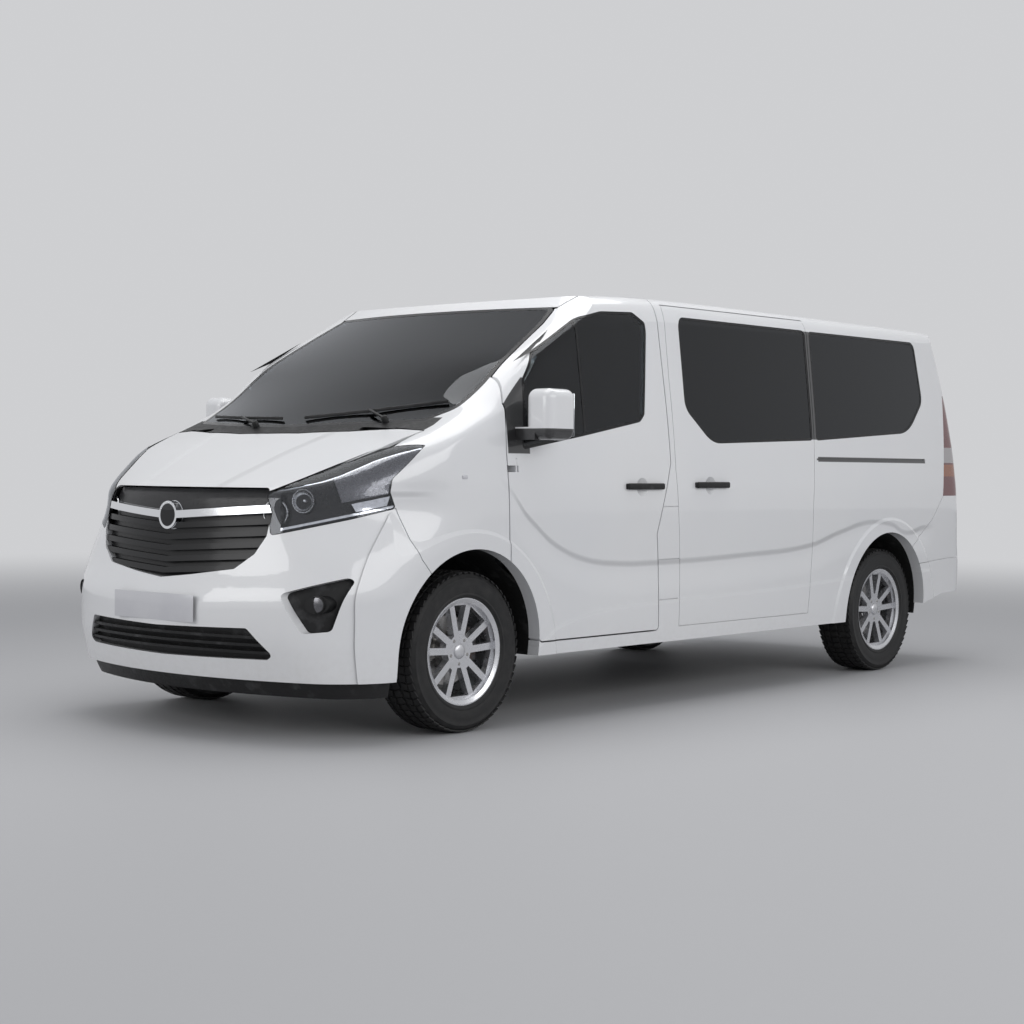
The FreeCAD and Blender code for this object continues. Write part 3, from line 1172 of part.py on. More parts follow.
column = Part.makeCylinder(size.columnRadius, size.columnLength, columnStart, down)
dash = nodes["dashboard"].Shape.fuse(column).common(dashInset).removeSplitter()
nodes["dashboard"].Shape = dash

# Door mirrors, each an arm on the corner of the door and a housing
mirrorX = station(0.118)
mirrorZ = level(0.690)
mirrorArm = box(mirrorX, mirrorX + size.mirrorDepth, side(0.93), halfWidth + size.mirrorReach / 2,
                mirrorZ - size.mirrorHeight / 2, mirrorZ - size.mirrorHeight / 4)
mirrorHead = box(mirrorX - size.mirrorDepth / 3, mirrorX + size.mirrorDepth, halfWidth + size.mirrorReach * 0.15,
                 halfWidth + size.mirrorReach, mirrorZ - size.mirrorHeight / 2, mirrorZ + size.mirrorHeight / 2)
mirrorHead = mirrorHead.makeFillet(size.mirrorRound, mirrorHead.Edges)
mirrorBody = mirrorArm.fuse(mirrorHead).removeSplitter()
mirrorBody = mirrorBody.cut(bodyColumn(-fit))
bothSides("door_mirror", mirrorBody)

# Fuel tank and exhaust under the floor
bound("Part::Box", "fuel_tank", {"Length": "sizes.tankLength", "Width": "sizes.tankWidth", "Height": "sizes.tankHeight"},
      (f"{frontAxle} - sizes.wheelbase / 2 - sizes.tankLength / 2", "sizes.tankOffset",
       "sizes.floorTop - sizes.floorThickness - sizes.seatGap - sizes.tankHeight"), True)
pipeY = -size.tankOffset - size.silencerRadius
pipeZ = size.floorTop - size.floorThickness - fit - size.silencerRadius
pipeStart = Vec(station(0.10), pipeY, pipeZ)
silencer = Part.makeCylinder(size.silencerRadius, size.silencerLength, Vec(station(0.62), pipeY, pipeZ), Vec(-1, 0, 0))
pipe = Part.makeCylinder(size.exhaustRadius, pipeStart.x - station(0.80), pipeStart, Vec(-1, 0, 0))
place("exhaust", silencer.fuse(pipe).removeSplitter())

# Hinges: a pin on an arm from the bulkhead, in two barrels of the door
arms = []
barrels = []
pockets = []
for share in hingeLevelShares:
    z = level(share)
    half = size.hingeArmHeight / 2
    tall = half + size.hingePlay + size.hingeBarrelHeight
    pin = Part.makeCylinder(size.hingePinRadius, 2 * tall, Vec(hingeX, hingeY, z - tall), Vec(0, 0, 1))
    inward = hingeY - size.wallThickness - size.hingeDepth
    arm = box(hingeX - size.hingePinRadius, hingeX + size.hingePinRadius, inward, hingeY, z - half, z + half)
    leg = box(hingeX - size.hingePinRadius, bulkheadX, inward - size.hingeBarrelRadius, inward, z - half, z + half)
    arms += [pin, arm, leg]
    play = half + size.hingePlay
    pockets.append(box(hingeX - size.hingeBarrelRadius - size.hingePlay, hingeX + size.hingeSetback + size.overrun,
                       inward - size.overrun, hingeY + size.hingeBarrelRadius, z - play, z + play))
    pockets.append(Part.makeCylinder(size.hingePinRadius + size.runningGap, 2 * tall + 2 * size.hingePlay,
                                     Vec(hingeX, hingeY, z - tall - size.hingePlay), Vec(0, 0, 1)))
for label, turned in (("front_door_left", False), ("front_door_right", True)):
    tools = [mirror(tool) if turned else tool for tool in pockets]
    nodes[label].Shape = nodes[label].Shape.cut(tools)
place("door_hinges", Part.Compound(arms[0].fuse(arms[1:]).removeSplitter().Solids
                                   + mirror(arms[0].fuse(arms[1:]).removeSplitter()).Solids))


def skinHeight(x, y):
    """Height of the body skin over a place."""
    return outer.common(Part.makeLine(Vec(x, y, level(0.3)), Vec(x, y, 2 * size.roofHeight))).BoundBox.ZMax


def tailSkin(y, z):
    """X of the tail skin at a place."""
    return outer.common(Part.makeLine(Vec(rearAxleX, y, z), Vec(-2 * noseX, y, z))).BoundBox.XMin


# Tailgate hinges: arms from the roof lining with pins across pockets in the tailgate
thick = size.hingePinRadius
armHalf = size.hingeArmHeight / 2
pinReach = armHalf + size.hingePlay + size.hingeBarrelHeight
tailHingeZ = level(0.962) - size.tailgateGap - size.tailgateHingeDrop
tailHingeX = tailSkin(0, tailHingeZ) + size.tailgateHingeDepth
tailHingeY = side(0.5)
tailArm = box(tailHingeX - thick, tailHingeX + size.hingeReach, tailHingeY - armHalf, tailHingeY + armHalf,
              tailHingeZ - thick, tailHingeZ + thick)
tailLeg = box(tailHingeX + size.hingeReach - 2 * thick, tailHingeX + size.hingeReach, tailHingeY - armHalf,
              tailHingeY + armHalf, tailHingeZ - thick, size.roofHeight)
tailPin = Part.makeCylinder(thick, 2 * pinReach, Vec(tailHingeX, tailHingeY - pinReach, tailHingeZ), Vec(0, 1, 0))
tailHinge = tailArm.fuse([tailLeg, tailPin]).removeSplitter().common(cabin.fuse(tailOutline))
pairNode("tailgate_hinges", tailHinge)
clear = thick + size.doorGap
tailPocket = box(tailHingeX - clear, tailHingeX + 2 * size.hingeReach, tailHingeY - armHalf - size.doorGap,
                 tailHingeY + armHalf + size.doorGap, tailHingeZ - clear, size.roofHeight)
tailBore = Part.makeCylinder(thick + size.runningGap, 2 * pinReach + 2 * size.hingePlay,
                             Vec(tailHingeX, tailHingeY - pinReach - size.hingePlay, tailHingeZ), Vec(0, 1, 0))
nodes["tailgate"].Shape = nodes["tailgate"].Shape.cut([tailPocket, tailBore, mirror(tailPocket), mirror(tailBore)])

# Bonnet hinges: arms from the bulkhead with pins across pockets in the bonnet
bonnetHingeX = station(-0.215)
bonnetHingeY = side(0.72)
bonnetHingeZ = skinHeight(bonnetHingeX, bonnetHingeY) - size.bonnetHingeDepth
low = bonnetHingeZ - size.bonnetHingeLeg
bonnetArm = box(bonnetHingeX - thick, bonnetHingeX + thick, bonnetHingeY - armHalf, bonnetHingeY + armHalf,
                low, bonnetHingeZ)
bonnetLeg = box(bulkheadX + size.bulkheadThickness, bonnetHingeX + thick, bonnetHingeY - armHalf,
                bonnetHingeY + armHalf, low, low + 2 * thick)
bonnetPin = Part.makeCylinder(thick, 2 * pinReach, Vec(bonnetHingeX, bonnetHingeY - pinReach, bonnetHingeZ),
                              Vec(0, 1, 0))
pairNode("bonnet_hinges", bonnetArm.fuse([bonnetLeg, bonnetPin]).removeSplitter())
bonnetPocket = box(bonnetHingeX - 3 * size.bonnetHingeLeg, bonnetHingeX + clear, bonnetHingeY - armHalf - size.doorGap,
                   bonnetHingeY + armHalf + size.doorGap, low - size.bonnetHingeLeg, bonnetHingeZ + thick)
bonnetBore = Part.makeCylinder(thick + size.runningGap, 2 * pinReach + 2 * size.hingePlay,
                               Vec(bonnetHingeX, bonnetHingeY - pinReach - size.hingePlay, bonnetHingeZ), Vec(0, 1, 0))
nodes["bonnet"].Shape = nodes["bonnet"].Shape.cut([bonnetPocket, bonnetBore, mirror(bonnetPocket), mirror(bonnetBore)])
# The cowl keeps clear of the bonnet's rear edge as it opens
cowlHalf = largest(cowlLeft.cut(bonnetTool(-size.cowlGap)))
for radius, nearShare, farShare in ((size.cowlRelief, 0.50, 0.69), (size.cowlCornerRelief, 0.675, 0.86)):
    cowlHalf = cowlHalf.cut(Part.makeCylinder(radius, side(farShare - nearShare),
                                              Vec(bonnetHingeX, side(nearShare), bonnetHingeZ), Vec(0, 1, 0)))
nodes["cowl_panel"].Shape = joinedHalves(cowlHalf)
print("RACK", skinHeight(rackX + size.rackSpacingX / 2, size.rackSpacingY / 2))
print("HINGES", tailHingeX, tailHingeZ, bonnetHingeX, bonnetHingeZ, hingeX, hingeY)

for name in ("tailgate", "bonnet", "front_door_left", "door_hinges", "door_mirror_left", "exhaust", "dashboard"):
    print(name, nodes[name].Shape.isValid(), len(nodes[name].Shape.Solids))


def writeNodes():
    os.makedirs("parts", exist_ok=True)
    for item in doc.Objects:
        if "Invalid" in item.State or "Error" in item.State:
            raise ValueError(f"{item.Label} failed: {item.State}")
    for label, feature in nodes.items():
        shape = feature.Shape
        if shape.isNull() or not shape.isValid() or not shape.Solids:
            raise ValueError(f"{label} has no valid solid")
        print(label, len(shape.Solids), round(shape.Volume / 1e6, 2))
    for label, feature in nodes.items():
        feature.Shape.exportStep(f"parts/{label}.step")


doc.recompute()
writeNodes()
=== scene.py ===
import bpy
import bmesh
import math
from mathutils import Matrix, Vector
from mathutils.bvhtree import BVHTree


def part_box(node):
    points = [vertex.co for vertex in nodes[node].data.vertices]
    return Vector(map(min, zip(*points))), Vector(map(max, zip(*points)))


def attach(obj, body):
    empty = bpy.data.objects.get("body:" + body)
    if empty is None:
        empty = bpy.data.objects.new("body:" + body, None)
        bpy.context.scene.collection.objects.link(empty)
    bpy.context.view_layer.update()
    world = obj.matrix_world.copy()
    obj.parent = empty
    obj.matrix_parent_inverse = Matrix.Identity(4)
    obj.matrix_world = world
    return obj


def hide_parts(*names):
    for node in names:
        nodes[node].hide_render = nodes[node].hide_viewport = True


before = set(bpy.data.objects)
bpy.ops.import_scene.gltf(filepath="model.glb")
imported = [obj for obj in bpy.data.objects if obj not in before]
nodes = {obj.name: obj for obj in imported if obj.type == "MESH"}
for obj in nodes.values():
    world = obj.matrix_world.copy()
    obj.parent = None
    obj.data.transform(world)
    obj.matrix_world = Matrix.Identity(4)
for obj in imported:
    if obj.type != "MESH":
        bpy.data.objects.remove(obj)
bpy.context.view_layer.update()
frontAxleX = 1.7665
rearAxleX = -1.7315
wheelY = 0.81
wheelZ = 0.345
sides = {"left": 1, "right": -1}
print("frame loaded:", len(nodes), "nodes")

# Camera, at the photograph's viewing angle
view = {
    "position": (7.6247, 6.2072, 1.1208), "yaw": -2.43092571, "pitch": -0.0228584, "roll": 0.00813839,
    "lens": 65.504, "sensor": 36.0, "far": 200.0,
}


def addCamera():
    yaw, pitch, roll = view["yaw"], view["pitch"], view["roll"]
    forward = Vector((math.cos(yaw) * math.cos(pitch), math.sin(yaw) * math.cos(pitch), math.sin(pitch)))
    right = Vector((math.sin(yaw), -math.cos(yaw), 0))
    up = right.cross(forward)
    rolledRight = right * math.cos(roll) + up * math.sin(roll)
    rolledUp = up * math.cos(roll) - right * math.sin(roll)
    data = bpy.data.cameras.new("camera")
    data.lens = view["lens"]
    data.sensor_width = view["sensor"]
    data.clip_end = view["far"]
    camera = bpy.data.objects.new("camera", data)
    turn = Matrix((rolledRight, rolledUp, -forward)).transposed().to_4x4()
    camera.matrix_world = Matrix.Translation(view["position"]) @ turn
    bpy.context.scene.collection.objects.link(camera)
    bpy.context.scene.camera = camera


addCamera()
bpy.context.scene.view_settings.view_transform = "Standard"
print("camera placed")

# The sockets that a Mix node uses for colours
mixSockets = {"factor": 0, "first": 6, "second": 7, "result": 2}


# One material's node tree, built a node at a time
class Shader:
    def __init__(self, name, **surface):
        self.material = bpy.data.materials.new(name)
        self.material.use_nodes = True
        self.tree = self.material.node_tree
        self.surface = self.tree.nodes["Principled BSDF"]
        self.set(self.surface, surface)

    # Links a socket or sets a constant, which may be a colour without its alpha
    def plug(self, socket, value):
        if isinstance(value, bpy.types.NodeSocket):
            self.tree.links.new(value, socket)
        elif isinstance(value, tuple) and socket.type == "RGBA":
            socket.default_value = (*value, 1)
        else:
            socket.default_value = value

    def set(self, node, values):
        for name, value in values.items():
            self.plug(node.inputs[name.replace("_", " ")], value)

    def add(self, kind, values=None, **settings):
        node = self.tree.nodes.new(kind)
        for name, value in settings.items():
            setattr(node, name, value)
        self.set(node, values or {})
        return node

    def coordinates(self, stretch=(1, 1, 1)):
        place = self.add("ShaderNodeTexCoord").outputs["Object"]
        return self.add("ShaderNodeMapping", {"Vector": place, "Scale": stretch}).outputs["Vector"]

    def noise(self, scale, detail=3.0, stretch=(1, 1, 1)):
        values = {"Vector": self.coordinates(stretch), "Scale": scale, "Detail": detail}
        return self.add("ShaderNodeTexNoise", values).outputs["Fac"]

    def cells(self, scale, stretch=(1, 1, 1)):
        values = {"Vector": self.coordinates(stretch), "Scale": scale}
        return self.add("ShaderNodeTexVoronoi", values).outputs["Distance"]

    def wave(self, scale, distortion, axis):
        values = {"Vector": self.coordinates(), "Scale": scale, "Distortion": distortion}
        return self.add("ShaderNodeTexWave", values, bands_direction=axis).outputs["Fac"]

    def range(self, value, low, high, toLow=0.0, toHigh=1.0, **settings):
        values = {"Value": value, "From_Min": low, "From_Max": high, "To_Min": toLow, "To_Max": toHigh}
        return self.add("ShaderNodeMapRange", values, **settings).outputs["Result"]

    def smooth(self, value, low, high, toLow=0.0, toHigh=1.0):
        return self.range(value, low, high, toLow, toHigh, interpolation_type="SMOOTHSTEP")

    def along(self, axis):
        place = self.add("ShaderNodeTexCoord").outputs["Object"]
        return self.add("ShaderNodeSeparateXYZ", {"Vector": place}).outputs[axis]

    def math(self, operation, first, second=0.0):
        node = self.add("ShaderNodeMath", operation=operation)
        self.plug(node.inputs[0], first)
        self.plug(node.inputs[1], second)
        return node.outputs[0]

    def mix(self, factor, first, second):
        node = self.add("ShaderNodeMix", data_type="RGBA")
        for name, value in (("factor", factor), ("first", first), ("second", second)):
            self.plug(node.inputs[mixSockets[name]], value)
        return node.outputs[mixSockets["result"]]

    def within(self, value, low, high, soft=0.002):
        rise = self.smooth(value, low - soft, low + soft)
        fall = self.smooth(value, high - soft, high + soft, 1.0, 0.0)
        return self.math("MULTIPLY", rise, fall)

    def every(self, *values):
        product = values[0]
        for value in values[1:]:
            product = self.math("MULTIPLY", product, value)
        return product

    def curve(self, value, points, low, high, top):
        node = self.add("ShaderNodeFloatCurve", {"Value": self.range(value, low, high)})
        line = node.mapping.curves[0]
        places = sorted(((x - low) / (high - low), y / top) for x, y in points)
        line.points[0].location = places[0]
        line.points[-1].location = places[-1]
        for place in places[1:-1]:
            line.points.new(*place)
        node.mapping.update()
        return self.math("MULTIPLY", node.outputs[0], top)

    def bump(self, height, strength, distance, under=None):
        values = {"Height": height, "Strength": strength, "Distance": distance}
        if under:
            values["Normal"] = under
        normal = self.add("ShaderNodeBump", values).outputs["Normal"]
        self.set(self.surface, {"Normal": normal})
        return normal

    def mixOut(self, share, first, second):
        node = self.add("ShaderNodeMixShader")
        for socket, value in zip(node.inputs, (share, first, second)):
            self.plug(socket, value)
        self.tree.links.new(node.outputs[0], self.tree.nodes["Material Output"].inputs["Surface"])
        return self.material


# Glossy white paint with faint orange peel and a little dust by the sills. The pressed lines of the body
# sides are given as (x, z), and the black areas by the windows and in the slide rail as (back, front, low,
# high)
whites = ((0.79, 0.795, 0.81), (0.81, 0.812, 0.82))
peel = {"noise": (420.0, 1.0), "bump": (0.05, 0.0004)}
paintSettings = {
    "swage": ((-2.7, 0.83), (-2.1515, 0.817), (-1.9145, 0.79), (-1.7365, 0.841), (-1.5105, 0.856),
              (-1.1885, 0.807), (-0.8835, 0.744), (-0.2205, 0.710), (0.4975, 0.697), (0.7695, 0.701),
              (0.9925, 0.722), (1.2095, 0.786), (1.3975, 0.901), (1.7, 1.12), (2.7, 1.2)),
    "swageDepth": 0.016, "scoopRise": (-0.006, 0.030), "scoopFade": (0.03, 0.17, 1.0, 0.0),
    "moulding": ((-2.7, 0.56), (-1.2115, 0.545), (-0.9035, 0.530), (-0.2385, 0.512), (0.4815, 0.501),
                 (0.9015, 0.480), (1.1845, 0.428), (1.3805, 0.337), (2.7, 0.3)),
    "mouldingDepth": 0.009, "mouldingRise": (-0.004, 0.018), "lineSpan": (-2.7, 2.7, 2.0),
    "sideEnds": (-2.2, 1.53, 0.1), "sideFrom": (0.72, 0.74),
    "bonnetDepth": 0.012, "bonnetWidth": (2.66, 1.95, 0.235, 0.40), "bonnetFrom": (1.95, 2.1),
    "bonnetAbove": (1.0, 1.03), "bonnetRise": (-0.03, 0.03),
    "strip": (-1.014, -0.922, 1.292, 1.872), "rail": (-2.166, -0.975, 1.175, 1.201),
    "sail": (1.404, 1.5485, 1.19, 1.525), "sailSlope": 0.9, "sailTop": (2.792, 2.796, 1.0, 0.0),
    "black": (0.012, 0.012, 0.013), "lining": (0.085, 0.086, 0.09), "liningFaces": (-0.35, -0.2, 1.0, 0.0),
    "liningFrom": (0.55, 0.6), "ceilingFaces": (-0.5, -0.3, 1.0, 0.0), "ceilingFrom": (1.6, 1.65),
    "cloud": (1.3, 2.0), "cloudSpan": (0.35, 0.65), "dust": (0.60, 0.585, 0.56),
    "dustLevels": (0.28, 0.46, 1.0, 0.0), "dustNoise": (34.0, 5.0), "dustSpan": (0.42, 0.75, 0.0, 0.16),
}


def paintMaterial():
    values = paintSettings
    paint = Shader("whitePaint", Roughness=0.32, Coat_Weight=1.0, Coat_Roughness=0.03, Coat_IOR=1.5)
    forward, across, height = paint.along("X"), paint.math("ABSOLUTE", paint.along("Y")), paint.along("Z")
    wide = paint.smooth(across, *values["sideFrom"])

    def area(name, *limits):
        back, front, low, high = values[name]
        return paint.every(paint.within(forward, back, front), paint.within(height, low, high), wide, *limits)

    clean = paint.mix(paint.range(paint.noise(*values["cloud"]), *values["cloudSpan"]), *whites)
    dust = paint.math("MULTIPLY", paint.range(height, *values["dustLevels"]),
                      paint.range(paint.noise(*values["dustNoise"]), *values["dustSpan"]))
    dusty = paint.mix(dust, clean, values["dust"])
    slope = paint.math("ADD", height, paint.math("MULTIPLY", forward, values["sailSlope"]))
    windows = paint.math("MAXIMUM", area("strip"), area("sail", paint.smooth(slope, *values["sailTop"])))
    black = paint.math("MAXIMUM", windows, area("rail"))
    normals = paint.add("ShaderNodeTexCoord").outputs["Normal"]
    facing = paint.add("ShaderNodeSeparateXYZ", {"Vector": normals}).outputs
    turned = paint.math("MULTIPLY", facing["Y"], paint.math("SIGN", paint.along("Y")))
    inside = paint.math("MULTIPLY", paint.smooth(turned, *values["liningFaces"]),
                        paint.smooth(across, *values["liningFrom"]))
    ceiling = paint.math("MULTIPLY", paint.smooth(facing["Z"], *values["ceilingFaces"]),
                         paint.smooth(height, *values["ceilingFrom"]))
    lined = paint.mix(paint.math("MAXIMUM", inside, ceiling), dusty, values["lining"])
    paint.set(paint.surface, {"Base_Color": paint.mix(black, lined, values["black"])})
    onSide = paint.math("MULTIPLY", paint.within(forward, *values["sideEnds"]), wide)
    under = paint.math("SUBTRACT", paint.curve(forward, values["swage"], *values["lineSpan"]), height)
    scoop = paint.math("MULTIPLY", paint.smooth(under, *values["scoopRise"]),
                       paint.smooth(under, *values["scoopFade"]))
    level = paint.math("SUBTRACT", 1.0, paint.math("MULTIPLY", scoop, onSide))
    normal = paint.bump(level, 1.0, values["swageDepth"])
    below = paint.math("SUBTRACT", paint.curve(forward, values["moulding"], *values["lineSpan"]), height)
    step = paint.math("MULTIPLY", paint.smooth(below, *values["mouldingRise"]), onSide)
    normal = paint.bump(step, 1.0, values["mouldingDepth"], normal)
    spread = paint.math("SUBTRACT", across, paint.range(forward, *values["bonnetWidth"]))
    onBonnet = paint.math("MULTIPLY", paint.smooth(forward, *values["bonnetFrom"]),
                          paint.smooth(height, *values["bonnetAbove"]))
    ridge = paint.math("MULTIPLY", paint.smooth(spread, *values["bonnetRise"]), onBonnet)
    normal = paint.bump(ridge, 1.0, values["bonnetDepth"], normal)
    paint.bump(paint.noise(*peel["noise"]), *peel["bump"], normal)
    return paint.material


# Moulded plastic with a fine grain and lighter scuffs
plasticSettings = {"scuff": (14.0, 6.0), "scuffSpan": (0.56, 0.78, 0.0, 0.6), "sheen": (55.0, 4.0),
                   "sheenSpan": (0.3, 0.7), "glossier": 0.06, "duller": 0.08, "grainBump": 0.35}


def plasticMaterial(name, colour, roughness=0.45, grain=900.0, depth=0.0005, worn=(0.09, 0.09, 0.093)):
    values = plasticSettings
    plastic = Shader(name, Specular_IOR_Level=0.32)
    scuff = plastic.range(plastic.noise(*values["scuff"]), *values["scuffSpan"])
    sheen = plastic.range(plastic.noise(*values["sheen"]), *values["sheenSpan"],
                          roughness - values["glossier"], roughness + values["duller"])
    plastic.set(plastic.surface, {"Base_Color": plastic.mix(scuff, colour, worn), "Roughness": sheen})
    plastic.bump(plastic.cells(grain), values["grainBump"], depth)
    return plastic.material


# Bare or lacquered metal with faint streaks
metalSettings = {"detail": 5.0, "darker": 0.82, "colourSpan": (0.35, 0.7), "sheenSpan": (0.3, 0.7),
                 "glossier": 0.05, "duller": 0.08, "depth": 0.0004}


def metalMaterial(name, colour, roughness=0.28, scratch=0.05, stretch=(1, 1, 1), scale=60.0):
    values = metalSettings
    metal = Shader(name, Metallic=1.0)
    streak = metal.noise(scale, values["detail"], stretch)
    darker = tuple(c * values["darker"] for c in colour)
    sheen = metal.range(streak, *values["sheenSpan"], roughness - values["glossier"],
                        roughness + values["duller"])
    shade = metal.range(streak, *values["colourSpan"])
    metal.set(metal.surface, {"Base_Color": metal.mix(shade, colour, darker), "Roughness": sheen})
    metal.bump(streak, scratch, values["depth"])
    return metal.material


# Finishes that differ by how dust or rust lies on a ground colour: rubber, the silver lacquer of the
# wheels, and cast iron
dustedSettings = {
    "tyreRubber": {
        "surface": {"Specular_IOR_Level": 0.35}, "dust": (26.0, 6.0), "dustSpan": (0.42, 0.72, 0.0, 0.6),
        "colours": ((0.012, 0.012, 0.0125), (0.034, 0.033, 0.032)), "sheenSpan": (0.0, 1.0, 0.48, 0.72),
        "grain": (380.0, 4.0), "bump": (0.3, 0.0006)},
    "silverAlloy": {
        "surface": {"Metallic": 0.85, "Coat_Weight": 0.6, "Coat_Roughness": 0.12}, "dust": (22.0, 5.0),
        "dustSpan": (0.5, 0.8, 0.0, 0.35), "colours": ((0.66, 0.665, 0.69), (0.36, 0.35, 0.34)),
        "sheenSpan": (0.0, 0.35, 0.27, 0.45), "grain": (700.0, 2.0), "bump": (0.08, 0.0003)},
    "castIron": {
        "surface": {"Metallic": 0.6}, "dust": (30.0, 6.0), "dustSpan": (0.5, 0.7, 0.0, 0.7),
        "colours": ((0.09, 0.09, 0.095), (0.13, 0.075, 0.05)), "sheenSpan": (0.0, 1.0, 0.5, 0.8),
        "grain": (240.0, 5.0), "bump": (0.4, 0.001)},
}


def dustedMaterial(name):
    values = dustedSettings[name]
    dusted = Shader(name, **values["surface"])
    dust = dusted.range(dusted.noise(*values["dust"]), *values["dustSpan"])
    dusted.set(dusted.surface, {"Base_Color": dusted.mix(dust, *values["colours"]),
                                "Roughness": dusted.range(dust, *values["sheenSpan"])})
    dusted.bump(dusted.noise(*values["grain"]), *values["bump"])
    return dusted.material


# Tinted pane: it lets the cabin show through and mirrors the studio at a shallow angle
glassSettings = {"smear": (9.0, 4.0), "smearSpan": (0.4, 0.7), "thickest": 3, "mirrored": (0.9, 0.92, 0.95),
                 "index": 1.45}


def glassMaterial(name, tint, haze=0.01, shine=1.0):
    values = glassSettings
    pane = Shader(name)
    pane.tree.nodes.remove(pane.surface)
    smear = pane.range(pane.noise(*values["smear"]), *values["smearSpan"], haze, haze * values["thickest"])
    clear = pane.add("ShaderNodeBsdfTransparent", {"Color": tint}).outputs[0]
    gloss = pane.add("ShaderNodeBsdfGlossy", {"Color": values["mirrored"], "Roughness": smear}).outputs[0]
    edge = pane.add("ShaderNodeFresnel", {"IOR": values["index"]}).outputs[0]
    return pane.mixOut(pane.math("MULTIPLY", edge, shine), clear, gloss)


# Red lamp cover with moulded ribs inside, a clear band for the reversing lamp and an amber one below it
lensSettings = {"red": (0.15, 0.004, 0.008), "clear": (0.46, 0.43, 0.44), "clearSpan": (1.18, 1.27),
                "amber": (0.34, 0.085, 0.015), "amberSpan": (1.10, 1.17), "ribs": 60.0, "bump": (0.25, 0.002)}


def lensMaterial(name):
    values = lensSettings
    lens = Shader(name, Roughness=0.08, Coat_Weight=1.0, Coat_Roughness=0.03, Transmission_Weight=0.2)
    height = lens.along("Z")
    banded = lens.mix(lens.within(height, *values["clearSpan"]), values["red"], values["clear"])
    banded = lens.mix(lens.within(height, *values["amberSpan"]), banded, values["amber"])
    lens.set(lens.surface, {"Base_Color": banded})
    lens.bump(lens.wave(values["ribs"], 0.0, "Z"), *values["bump"])
    return lens.material


# Woven seat cloth: crossing yarn directions, with a soft sheen
clothSettings = {"colours": ((0.022, 0.023, 0.026), (0.045, 0.046, 0.05)), "weave": 260.0, "slack": 0.6,
                 "thread": 0.4, "blotch": (18.0, 4.0), "blotchSpan": (0.35, 0.7, 0.0, 0.5),
                 "bump": (0.3, 0.001)}


def clothMaterial(name):
    values = clothSettings
    cloth = Shader(name, Roughness=0.9, Sheen_Weight=0.35, Sheen_Roughness=0.5)
    waves = [cloth.wave(values["weave"], values["slack"], axis) for axis in ("X", "Y", "Z")]
    yarn = cloth.math("MULTIPLY", cloth.math("ADD", waves[0], waves[1]),
                      cloth.math("ADD", waves[2], values["thread"]))
    blotch = cloth.range(cloth.noise(*values["blotch"]), *values["blotchSpan"])
    cloth.set(cloth.surface, {"Base_Color": cloth.mix(blotch, *values["colours"])})
    cloth.bump(yarn, *values["bump"])
    return cloth.material


# Black louvres with a chrome bar and a plain ring in front and a fine mesh above the bar
grilleSettings = {
    "barZ": 0.9185, "dip": 0.0653, "barHalf": 0.0162, "barSoft": 0.0008, "ring": 0.0605, "ringSoft": 0.001,
    "ringInside": (0.0135, 0.0115), "chrome": (0.82, 0.83, 0.85), "sheens": (0.36, 0.09),
    "meshAbove": (0.018, 0.020), "mesh": (150.0, (0, 1.0, 1.25)), "meshSpan": (0.22, 0.36),
    "blacks": ((0.007, 0.007, 0.008), (0.03, 0.03, 0.032)), "bump": (0.8, 0.003),
}


def grilleMaterial():
    values = grilleSettings
    grille = Shader("grilleFinish", Coat_Weight=0.15, Coat_Roughness=0.1, Specular_IOR_Level=0.3)
    across, height = grille.along("Y"), grille.along("Z")
    dip = grille.math("MULTIPLY", grille.math("ABSOLUTE", across), values["dip"])
    rise = grille.math("SUBTRACT", height, grille.math("ADD", dip, values["barZ"]))
    bar = grille.within(rise, -values["barHalf"], values["barHalf"], values["barSoft"])
    drop = grille.math("SUBTRACT", height, values["barZ"])
    apart = grille.math("SQRT", grille.math("ADD", grille.every(across, across), grille.every(drop, drop)))
    ring, soft = values["ring"], values["ringSoft"]
    disc = grille.smooth(apart, ring - soft, ring + soft, 1.0, 0.0)
    middle = grille.smooth(apart, *(ring - inset for inset in values["ringInside"]), 1.0, 0.0)
    bright = grille.math("SUBTRACT", grille.math("MAXIMUM", bar, disc), middle)
    mesh = grille.math("MULTIPLY", grille.smooth(rise, *values["meshAbove"]),
                       grille.smooth(grille.cells(*values["mesh"]), *values["meshSpan"]))
    dark = grille.mix(mesh, *values["blacks"])
    grille.set(grille.surface, {"Base_Color": grille.mix(bright, dark, values["chrome"]), "Metallic": bright,
                                "Roughness": grille.range(bright, 0.0, 1.0, *values["sheens"])})
    grille.bump(mesh, *values["bump"])
    return grille.material


# Door mirror: a white cap over a black base, parted at one level
mirrorSettings = {
    "capFrom": 1.298, "capSoft": 0.001, "cloud": (3.0, 2.0), "cloudSpan": (0.35, 0.65),
    "base": (0.014, 0.014, 0.015), "sheens": (0.5, 0.32), "glassInset": 0.018, "glassFrom": 0.999,
    "glassWall": 0.004, "glassEdge": 0.0018,
}


def mirrorMaterial():
    values = mirrorSettings
    shell = Shader("mirrorFinish", Coat_Weight=1.0, Coat_Roughness=0.04)
    cap = shell.smooth(shell.along("Z"), values["capFrom"] - values["capSoft"],
                       values["capFrom"] + values["capSoft"])
    white = shell.mix(shell.range(shell.noise(*values["cloud"]), *values["cloudSpan"]), *whites)
    shell.set(shell.surface, {"Base_Color": shell.mix(cap, values["base"], white),
                              "Roughness": shell.range(cap, 0.0, 1.0, *values["sheens"])})
    shell.bump(shell.noise(*peel["noise"]), *peel["bump"])
    return shell.material


# Pale number plate with faint pressing marks
plateFinish = {"cloud": (6.0, 4.0), "cloudSpan": (0.35, 0.65), "marks": (90.0, 3.0), "bump": (0.05, 0.0004),
               "colours": ((0.58, 0.58, 0.61), (0.62, 0.62, 0.645))}


